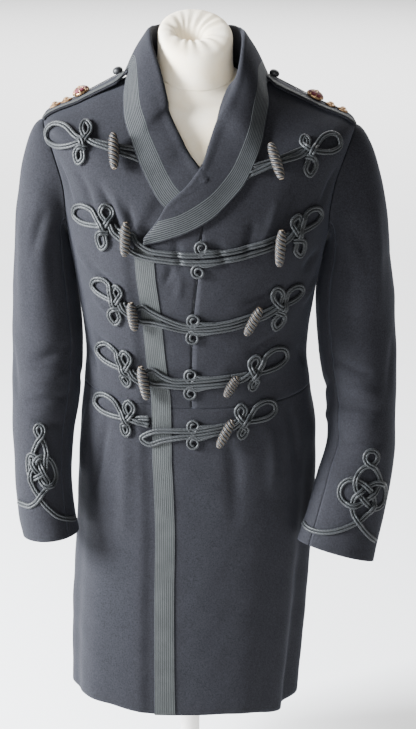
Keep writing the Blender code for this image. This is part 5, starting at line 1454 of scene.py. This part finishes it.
def make_cord():
    """Twisted mohair cord: slanting strands with painted shade in the grooves between them and a painted soft
    shine on their crowns.
    """
    mat, tree, shade, height = begin_material("twisted_mohair_cord", 1600.0, 90.0, 0.5)
    uv = tree.nodes.new("ShaderNodeUVMap").outputs["UV"]
    axes = add_node(tree, "ShaderNodeSeparateXYZ", {}, Vector=uv).outputs
    round_it = math_node(tree, "MULTIPLY", axes["X"], float(2 * STRANDS))
    down_it = math_node(tree, "DIVIDE", axes["Y"], STRAND_PITCH / 2)
    wave = math_node(tree, "MULTIPLY", math_node(tree, "SUBTRACT", round_it, down_it), math.pi)
    strand = math_node(tree, "MULTIPLY_ADD", math_node(tree, "SINE", wave), 0.5, 0.5)
    # Painted shade in the strand grooves and painted highlight on the strand crowns
    lit = math_node(tree, "MULTIPLY", math_node(tree, "MULTIPLY_ADD", strand, 0.6, 0.4), shade)
    relief = math_node(tree, "ADD", strand, height)
    return end_material(mat, lit, ((0.14, CORD_DEEP), (0.56, CORD_TOP)), relief, (0.5, 0.0004),
                        Roughness=0.50, Specular_IOR_Level=0.35, Sheen_Weight=0.05)


cord = make_cord()


def smooth_track(points, step=CORD_STEP):
    """Even, smooth path through given points on a flat surface."""
    points = np.array(points, float)
    return resample(points, max(4, int(arc_of(points)[-1] / step)))


seed_turns, seed_rings = np.meshgrid(np.linspace(-0.245, 0.245, 50), np.linspace(0.0, 12.9, 66))
seed_spots = bare_body(seed_turns, seed_rings)[..., [0, 2]].reshape(-1, 2)


def front_place(path):
    """Turn and ring of places on the front, given as rows of x and z."""
    nearest = np.linalg.norm(path[:, None] - seed_spots[None], axis=-1).argmin(axis=1)
    t, s = seed_turns.ravel()[nearest], seed_rings.ravel()[nearest]
    for _ in range(10):
        here = bare_body(t, s)[:, [0, 2]]
        dt = (bare_body(t + 1e-4, s)[:, [0, 2]] - here) / 1e-4
        ds = (bare_body(t, s + 1e-4)[:, [0, 2]] - here) / 1e-4
        miss = path - here
        size = dt[:, 0] * ds[:, 1] - dt[:, 1] * ds[:, 0]
        t = t + np.clip((miss[:, 0] * ds[:, 1] - miss[:, 1] * ds[:, 0]) / size, -0.02, 0.02)
        s = s + np.clip((dt[:, 0] * miss[:, 1] - dt[:, 1] * miss[:, 0]) / size, -0.4, 0.4)
        s = np.clip(s, 0.0, 12.9)
    return t, s


def on_front(path):
    """Points and normals of the coat's front under a path of x and z."""
    t, s = front_place(path)
    return coat_point(t, s), normals_of(bare_body, t, s, 0.0, NECK)


def knot_lift(path):
    high = np.clip((path[:, 1] - 1.03) / 0.03, 0, 1)
    outer = np.clip((np.abs(path[:, 0]) - 0.19) / 0.02, 0, 1)
    return TRIM_LIFT + 0.0005 * high + 0.0009 * high * outer


def run_lift(path):
    """Cords rise where they lie over the braid of the front edge."""
    _, s = front_place(path)
    middle = bare_body(along(FRONT_EDGE, s), s)[:, 0] + BRAID_WIDTH / 2
    away = np.clip((np.abs(path[:, 0] - middle) - BRAID_WIDTH / 2 - RISE_FROM) / RISE_REACH, 0, 1)
    return TRIM_LIFT + OVER_BRAID * (1 - soft_share(away))


def eased(values, width):
    """Values smoothed along a path, ends held."""
    kernel = np.hanning(width + 2)[1:-1]
    padded = np.pad(values, width // 2, mode="edge")
    return np.convolve(padded, kernel / kernel.sum(), mode="valid")[:len(values)]


def layered(tracks):
    """Heights of strands that pass over each other, later strands over earlier ones."""
    under, under_high, heights = np.zeros((0, 3)), np.zeros(0), []
    for points in tracks:
        run = arc_of(points)
        high = np.zeros(len(points))
        for k, spot in enumerate(points):
            own = run < run[k] - LAYER_GAP
            others = np.vstack((under, points[own]))
            if not len(others):
                continue
            away = np.linalg.norm(others - spot, axis=1)
            near = np.clip((FAR_LAYER - away) / (FAR_LAYER - NEAR_LAYER), 0, 1)
            below = np.concatenate((under_high, high[own]))
            high[k] = min((soft_share(near) * (LAYER_HIGH + 0.8 * below)).max(), LAYER_MOST)
        high = eased(high, 5)
        heights.append(high)
        under, under_high = np.vstack((under, points)), np.concatenate((under_high, high))
    return heights


def tube_points(centre, up, radius):
    """Rings of one cord, closed by small rings at both ends."""
    ahead = np.gradient(centre, axis=0)
    ahead /= np.linalg.norm(ahead, axis=1, keepdims=True)
    up = up - (up * ahead).sum(1, keepdims=True) * ahead
    up /= np.linalg.norm(up, axis=1, keepdims=True)
    side = np.cross(ahead, up)
    share = np.arange(CORD_SIDES) / CORD_SIDES
    run = arc_of(centre)
    angle = 2 * np.pi * share
    ridge = np.sin(2 * np.pi * (STRANDS * share[None] - run[:, None] / STRAND_PITCH))
    reach = radius * (1 + STRAND_DEEP * ridge)
    ring = (np.cos(angle)[None, :, None] * up[:, None] + np.sin(angle)[None, :, None] * side[:, None])
    body = centre[:, None] + reach[..., None] * ring
    caps = []
    for end, sign in ((0, -1), (-1, 1)):
        tip = centre[end] + sign * ahead[end] * radius * np.array(((0.45,), (0.80,)))
        caps.append([tip[k] + radius * part * ring[end] for k, part in enumerate((0.80, 0.35))])
    rows = [caps[0][1], caps[0][0]] + list(body) + caps[1]
    runs = np.concatenate(((-radius, -radius / 2), run, (run[-1] + radius / 2, run[-1] + radius)))
    return np.array(rows), runs


def cord_mesh(name, cords):
    """One mesh of several cords, each (centre points, normals, radius)."""
    spots, faces, uvs = [], [], []
    for centre, up, radius in cords:
        rows, runs = tube_points(centre, up, radius)
        start = len(spots)
        spots.extend(map(tuple, rows.reshape(-1, 3)))
        for j in range(len(rows) - 1):
            for k in range(CORD_SIDES):
                n = (k + 1) % CORD_SIDES
                a, b = start + j * CORD_SIDES, start + (j + 1) * CORD_SIDES
                faces.append((a + k, b + k, b + n, a + n))
                left, right = k / CORD_SIDES, (k + 1) / CORD_SIDES
                uvs.extend(((left, runs[j]), (left, runs[j + 1]), (right, runs[j + 1]), (right, runs[j])))
        for first, turn in ((start, 1), (start + (len(rows) - 1) * CORD_SIDES, -1)):
            faces.append(tuple(first + k for k in range(CORD_SIDES))[::turn])
            run = runs[0] if turn > 0 else runs[-1]
            uvs.extend([(k / CORD_SIDES, run) for k in range(CORD_SIDES)][::turn])
    mesh = bpy.data.meshes.new(name)
    mesh.from_pydata(spots, [], faces)
    layer = mesh.uv_layers.new(name="cloth_uv")
    layer.data.foreach_set("uv", np.array(uvs, np.float32).ravel())
    mesh.polygons.foreach_set("use_smooth", np.ones(len(mesh.polygons), bool))
    mesh.update()
    obj = bpy.data.objects.new(name, mesh)
    bpy.context.scene.collection.objects.link(obj)
    return obj


def cord_piece(node, cords):
    """Cords sewn on, in place of their CAD node."""
    piece = cord_mesh(f"{node}_cord", cords)
    stand_in_for(piece, node, cord)


def double_cord(points, up, high):
    """Two cords side by side along a path on the cloth, their centres at the given heights."""
    ahead = np.gradient(points, axis=0)
    ahead /= np.linalg.norm(ahead, axis=1, keepdims=True)
    side = np.cross(up, ahead)
    side /= np.linalg.norm(side, axis=1, keepdims=True)
    middle = points + up * high[:, None]
    return [(middle + side * apart, up, CORD_RADIUS) for apart in (-CORD_APART, CORD_APART)]


def knot_points(crossing, tip, upper, lower, upper_end, lower_end):
    """Flat paths of one knot: the short cord below, then the long one over it."""
    c = np.array(crossing)
    inward = np.array((1.0 if tip[0] < c[0] else -1.0, 0.0))

    def arm(target, shape, toward):
        reach = np.array(target) - c
        side = np.array((reach[1], -reach[0]))
        side = side if side @ toward > 0 else -side
        return [c + along_it * reach + aside * side for along_it, aside in shape]
    end = np.array(lower_end)
    path = [end, c + 0.52 * (end - c) + (0.0, 0.0010)]
    path += arm(upper, UPPER_CURL, inward)
    path += arm(tip, OUTER_LOOP, np.array((0.0, 1.0)))
    path += arm(lower, LOWER_CURL, inward)
    far = np.array(upper_end)
    short = [far, c + 0.6 * (far - c) + (0.0, 0.0005), c + inward * 0.012 + (0.0, 0.0010)]
    return [smooth_track(short), smooth_track(path)]


def make_knot(word, row):
    """Double cord of one frog knot; a first knot's cords dip under the collar at their ends."""
    flat = knot_points(*row)
    placed = [on_front(path) for path in flat]
    heights = layered([points for points, _ in placed])
    cords = []
    for path, (points, up), high in zip(flat, placed, heights):
        run = arc_of(points)
        fade = np.clip((run[-1] - run) / FADE_LENGTH, 0, 1)
        sunk = END_SUNK * np.clip(1 - run / SINK_LENGTH, 0, 1) if word.endswith("_1") else 0.0
        lift = knot_lift(path) + CORD_RADIUS + high * (0.25 + 0.75 * fade) - sunk
        cords += double_cord(points, up, lift)
    cord_piece(f"frog_knot_{word}", cords)


def spiral(centre, start, direction):
    """Spiral of one cord, wound inward from a start angle."""
    turn = np.linspace(0, SPIRAL_TURNS, 22)
    radius = SPIRAL_OUTER + (SPIRAL_INNER - SPIRAL_OUTER) * (turn / SPIRAL_TURNS) ** 0.9
    angle = start + direction * 2 * np.pi * turn
    return np.array(centre) + radius[:, None] * np.stack((np.cos(angle), np.sin(angle)), 1)


def make_run(number, row):
    """Double cord across the front and back again, with a spiral above and one below."""
    upper, end, lower, curl_up, curl_low = row
    path = smooth_track(upper + (end,) + lower)
    points, up = on_front(path)
    cords = double_cord(points, up, run_lift(path) + CORD_RADIUS)
    for centre, line, start, sign in ((curl_up, upper, -np.pi / 2, 1), (curl_low, lower, np.pi / 2, -1)):
        line = np.array(sorted(line))
        tail_x = centre[0] + np.array((0.030, 0.018, 0.008))
        tail_z = np.interp(tail_x, line[:, 0], line[:, 1]) + sign * np.array((0.0025, 0.0045, 0.0058))
        curl = spiral(centre, start, -sign)
        track = smooth_track(np.vstack((np.stack((tail_x, tail_z), 1), curl)), 0.0013)
        points, up = on_front(track)
        cords.append((points + up * (run_lift(track) + SPIRAL_CORD)[:, None], up, SPIRAL_CORD))
    cord_piece(f"frog_loop_{number}", cords)


def on_sleeve(word, path):
    """Points and normals of a sleeve under a path on the sleeve laid flat."""
    face = sleeve_faces[word]
    rings = np.linspace(SLEEVE_END, SLEEVE_END - 4.0, 41)
    heights = arc_of(face(0.25, rings))
    v = np.interp(path[:, 1], heights, rings)
    psi = np.zeros(len(path))
    for k, (across, ring) in enumerate(zip(path[:, 0], v)):
        line = arc_of(face(SLEEVE_SAMPLES, ring))
        line -= np.interp(0.25, SLEEVE_SAMPLES, line)
        psi[k] = np.interp(across, line, SLEEVE_SAMPLES)
    psi = eased(psi, 5)
    return sleeve_point(word, psi, v), sleeve_normals(word, psi, v)


def turn_of(p, q, r):
    """Twice the signed area of flat triangles, which tells the side that r lies on."""
    first, second = q - p, r - p
    return first[..., 0] * second[..., 1] - first[..., 1] * second[..., 0]


def crossings_of(path):
    """Pairs of places where a flat path crosses itself."""
    a, b = path[:-1], path[1:]
    pairs = []
    for i in range(len(a)):
        first = i + CROSSING_APART
        c, d = a[first:], b[first:]
        cut = ((turn_of(a[i], b[i], c) * turn_of(a[i], b[i], d) < 0)
               & (turn_of(c, d, a[i]) * turn_of(c, d, b[i]) < 0))
        pairs += [(i, first + int(k)) for k in np.flatnonzero(cut)]
    return pairs


def woven(path, points):
    """Heights of one cord that passes over and under itself in turn."""
    visits = sorted((place, number) for number, pair in enumerate(crossings_of(path)) for place in pair)
    run = arc_of(points)
    high = np.zeros(len(points))
    over = {}
    for turn, (place, number) in enumerate(visits):
        if number not in over:
            over[number] = turn % 2 == 1
            raised = over[number]
        else:
            raised = not over[number]
        if raised:
            away = np.abs(run - run[place])
            near = np.clip((WEAVE_NONE - away) / (WEAVE_NONE - WEAVE_FULL), 0, 1)
            high = np.maximum(high, soft_share(near) * WEAVE_HIGH)
    return eased(high, 5)


def make_cuff_knot(word):
    """Double cord of a cuff knot, woven over and under itself."""
    path = smooth_track(CUFF_PATHS[word])
    points, up = on_sleeve(word, path)
    cord_piece(f"cuff_knot_{word}", double_cord(points, up, woven(path, points) + CUFF_LIFT + CORD_RADIUS))


for word, row in KNOTS.items():
    make_knot(word, row)
for number, row in CROSSINGS.items():
    make_run(number, row)
for word in SIDES:
    make_cuff_knot(word)


# Olivets.
# Turned barrels covered with corded black silk in slanting ridges, with tan threads wound between them.
# A tan thread ring closes each end; the barrels lie over the cord loops that they fasten.
OLIVETS = {
    "right_1": ((-0.1262, 1.1150), (-0.1215, 1.0720)),
    "right_2": ((-0.1014, 0.9975), (-0.1018, 0.9500)),
    "right_3": ((-0.0932, 0.8775), (-0.0868, 0.8340)),
    "right_4": ((-0.0788, 0.7740), (-0.0695, 0.7225)),
    "left_1": ((0.1060, 1.1065), (0.1215, 1.0625)),
    "left_2": ((0.1206, 0.9890), (0.1180, 0.9370)),
    "left_3": ((0.0930, 0.8725), (0.0738, 0.8305)),
    "left_4": ((0.0625, 0.7610), (0.0467, 0.7300)),
    "left_5": ((0.0570, 0.6900), (0.0378, 0.6480)),
}
OLIVET_RADIUS, OLIVET_LENGTH, CORD_TOP_HEIGHT = 0.00779, 0.048, 0.0040
OLIVET_RIDGES, OLIVET_TWIST, RIDGE_DEEP = 3, -5.4 * math.pi, 0.24
# Each olivet is turned on its axis by this much more than the one before
OLIVET_TURN = 1.7
OLIVET_SHAPE = smooth_line(((0.0, 0.50), (0.04, 0.64), (0.12, 0.80), (0.25, 0.93), (0.5, 1.0), (0.75, 0.93),
                            (0.88, 0.80), (0.96, 0.64), (1.0, 0.50)))
THREAD_RADIUS = 0.00034
TAN_THREAD = (0.190, 0.140, 0.090, 1)
TAN_DEEP = (0.050, 0.036, 0.024, 1)


tan_thread = napped_material("tan_silk_thread", (2400.0, 300.0, 0.4), ((0.36, TAN_DEEP), (0.62, TAN_THREAD)),
                             (0.4, 0.0002), Roughness=0.55)


def make_olivet():
    """Barrel along Z: a turned blank, ridged and twisted, with its threads and end rings."""
    shape = [(OLIVET_LENGTH * (p - 0.5), OLIVET_RADIUS * float(OLIVET_SHAPE(p)))
             for p in np.linspace(0, 1, 49)]
    barrel = turned("olivet_blank", shape, 56)
    for vertex in barrel.data.vertices:
        angle = math.atan2(vertex.co.y, vertex.co.x)
        share = vertex.co.z / OLIVET_LENGTH
        reach = vertex.co.xy.length * (1 + RIDGE_DEEP * (abs(math.cos(OLIVET_RIDGES * angle / 2)) - 0.64))
        angle += OLIVET_TWIST * share
        vertex.co.xy = (reach * math.cos(angle), reach * math.sin(angle))
    barrel.data.materials.append(silk)
    threads = []
    for k in range(OLIVET_RIDGES):
        share = np.linspace(-0.47, 0.47, 96)
        angle = 2 * math.pi * (k + 0.5) / OLIVET_RIDGES + OLIVET_TWIST * share
        reach = OLIVET_RADIUS * OLIVET_SHAPE(share + 0.5) * (1 - 0.2 * RIDGE_DEEP)
        line = np.stack((reach * np.cos(angle), reach * np.sin(angle), OLIVET_LENGTH * share), 1)
        threads.append((line, line * (1, 1, 0) / reach[:, None], THREAD_RADIUS))
    thread = cord_mesh("olivet_threads", threads)
    thread.data.materials.append(tan_thread)
    parts = [barrel, thread]
    for sign in (-1, 1):
        bpy.ops.mesh.primitive_torus_add(major_radius=0.0027, minor_radius=0.0010, major_segments=24,
                                         minor_segments=10, location=(0, 0, sign * OLIVET_LENGTH * 0.492))
        ring = bpy.context.object
        bpy.ops.object.transform_apply(location=True)
        bpy.ops.object.shade_smooth()
        ring.data.materials.append(tan_thread)
        parts.append(ring)
    for part in parts:
        layer = part.data.uv_layers.active or part.data.uv_layers.new(name="cloth_uv")
        layer.name = "cloth_uv"
    return join_pieces("olivet_pattern", parts)


pattern = make_olivet()
for number, (word, (high, low)) in enumerate(OLIVETS.items()):
    ends = np.array((high, low))
    middle = ends.mean(axis=0)[None]
    rest = max(run_lift(middle)[0], knot_lift(middle)[0]) + CORD_TOP_HEIGHT
    t, s = front_place(np.vstack((ends, middle)))
    height = rest + 0.0005 + OLIVET_RADIUS
    a, b, m = bare_body(t, s) + height * normals_of(bare_body, t, s, 0.0, NECK)
    axis = Vector(a - b)
    olivet = pattern.copy()
    olivet.data = pattern.data.copy()
    olivet.name = f"olivet_{word}_worn"
    bpy.context.scene.collection.objects.link(olivet)
    stretch = Matrix.Diagonal((1, 1, axis.length / OLIVET_LENGTH, 1))
    stand = axis.to_track_quat("Z", "Y").to_matrix().to_4x4()
    spin = Matrix.Rotation(OLIVET_TURN * number, 4, "Z")
    olivet.data.transform(Matrix.Translation(m) @ stand @ spin @ stretch)
    olivet.data.update()
    place_in_frame(olivet, f"olivet_{word}")
bpy.data.objects.remove(pattern)


# Bounds of the finished model
low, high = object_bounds()
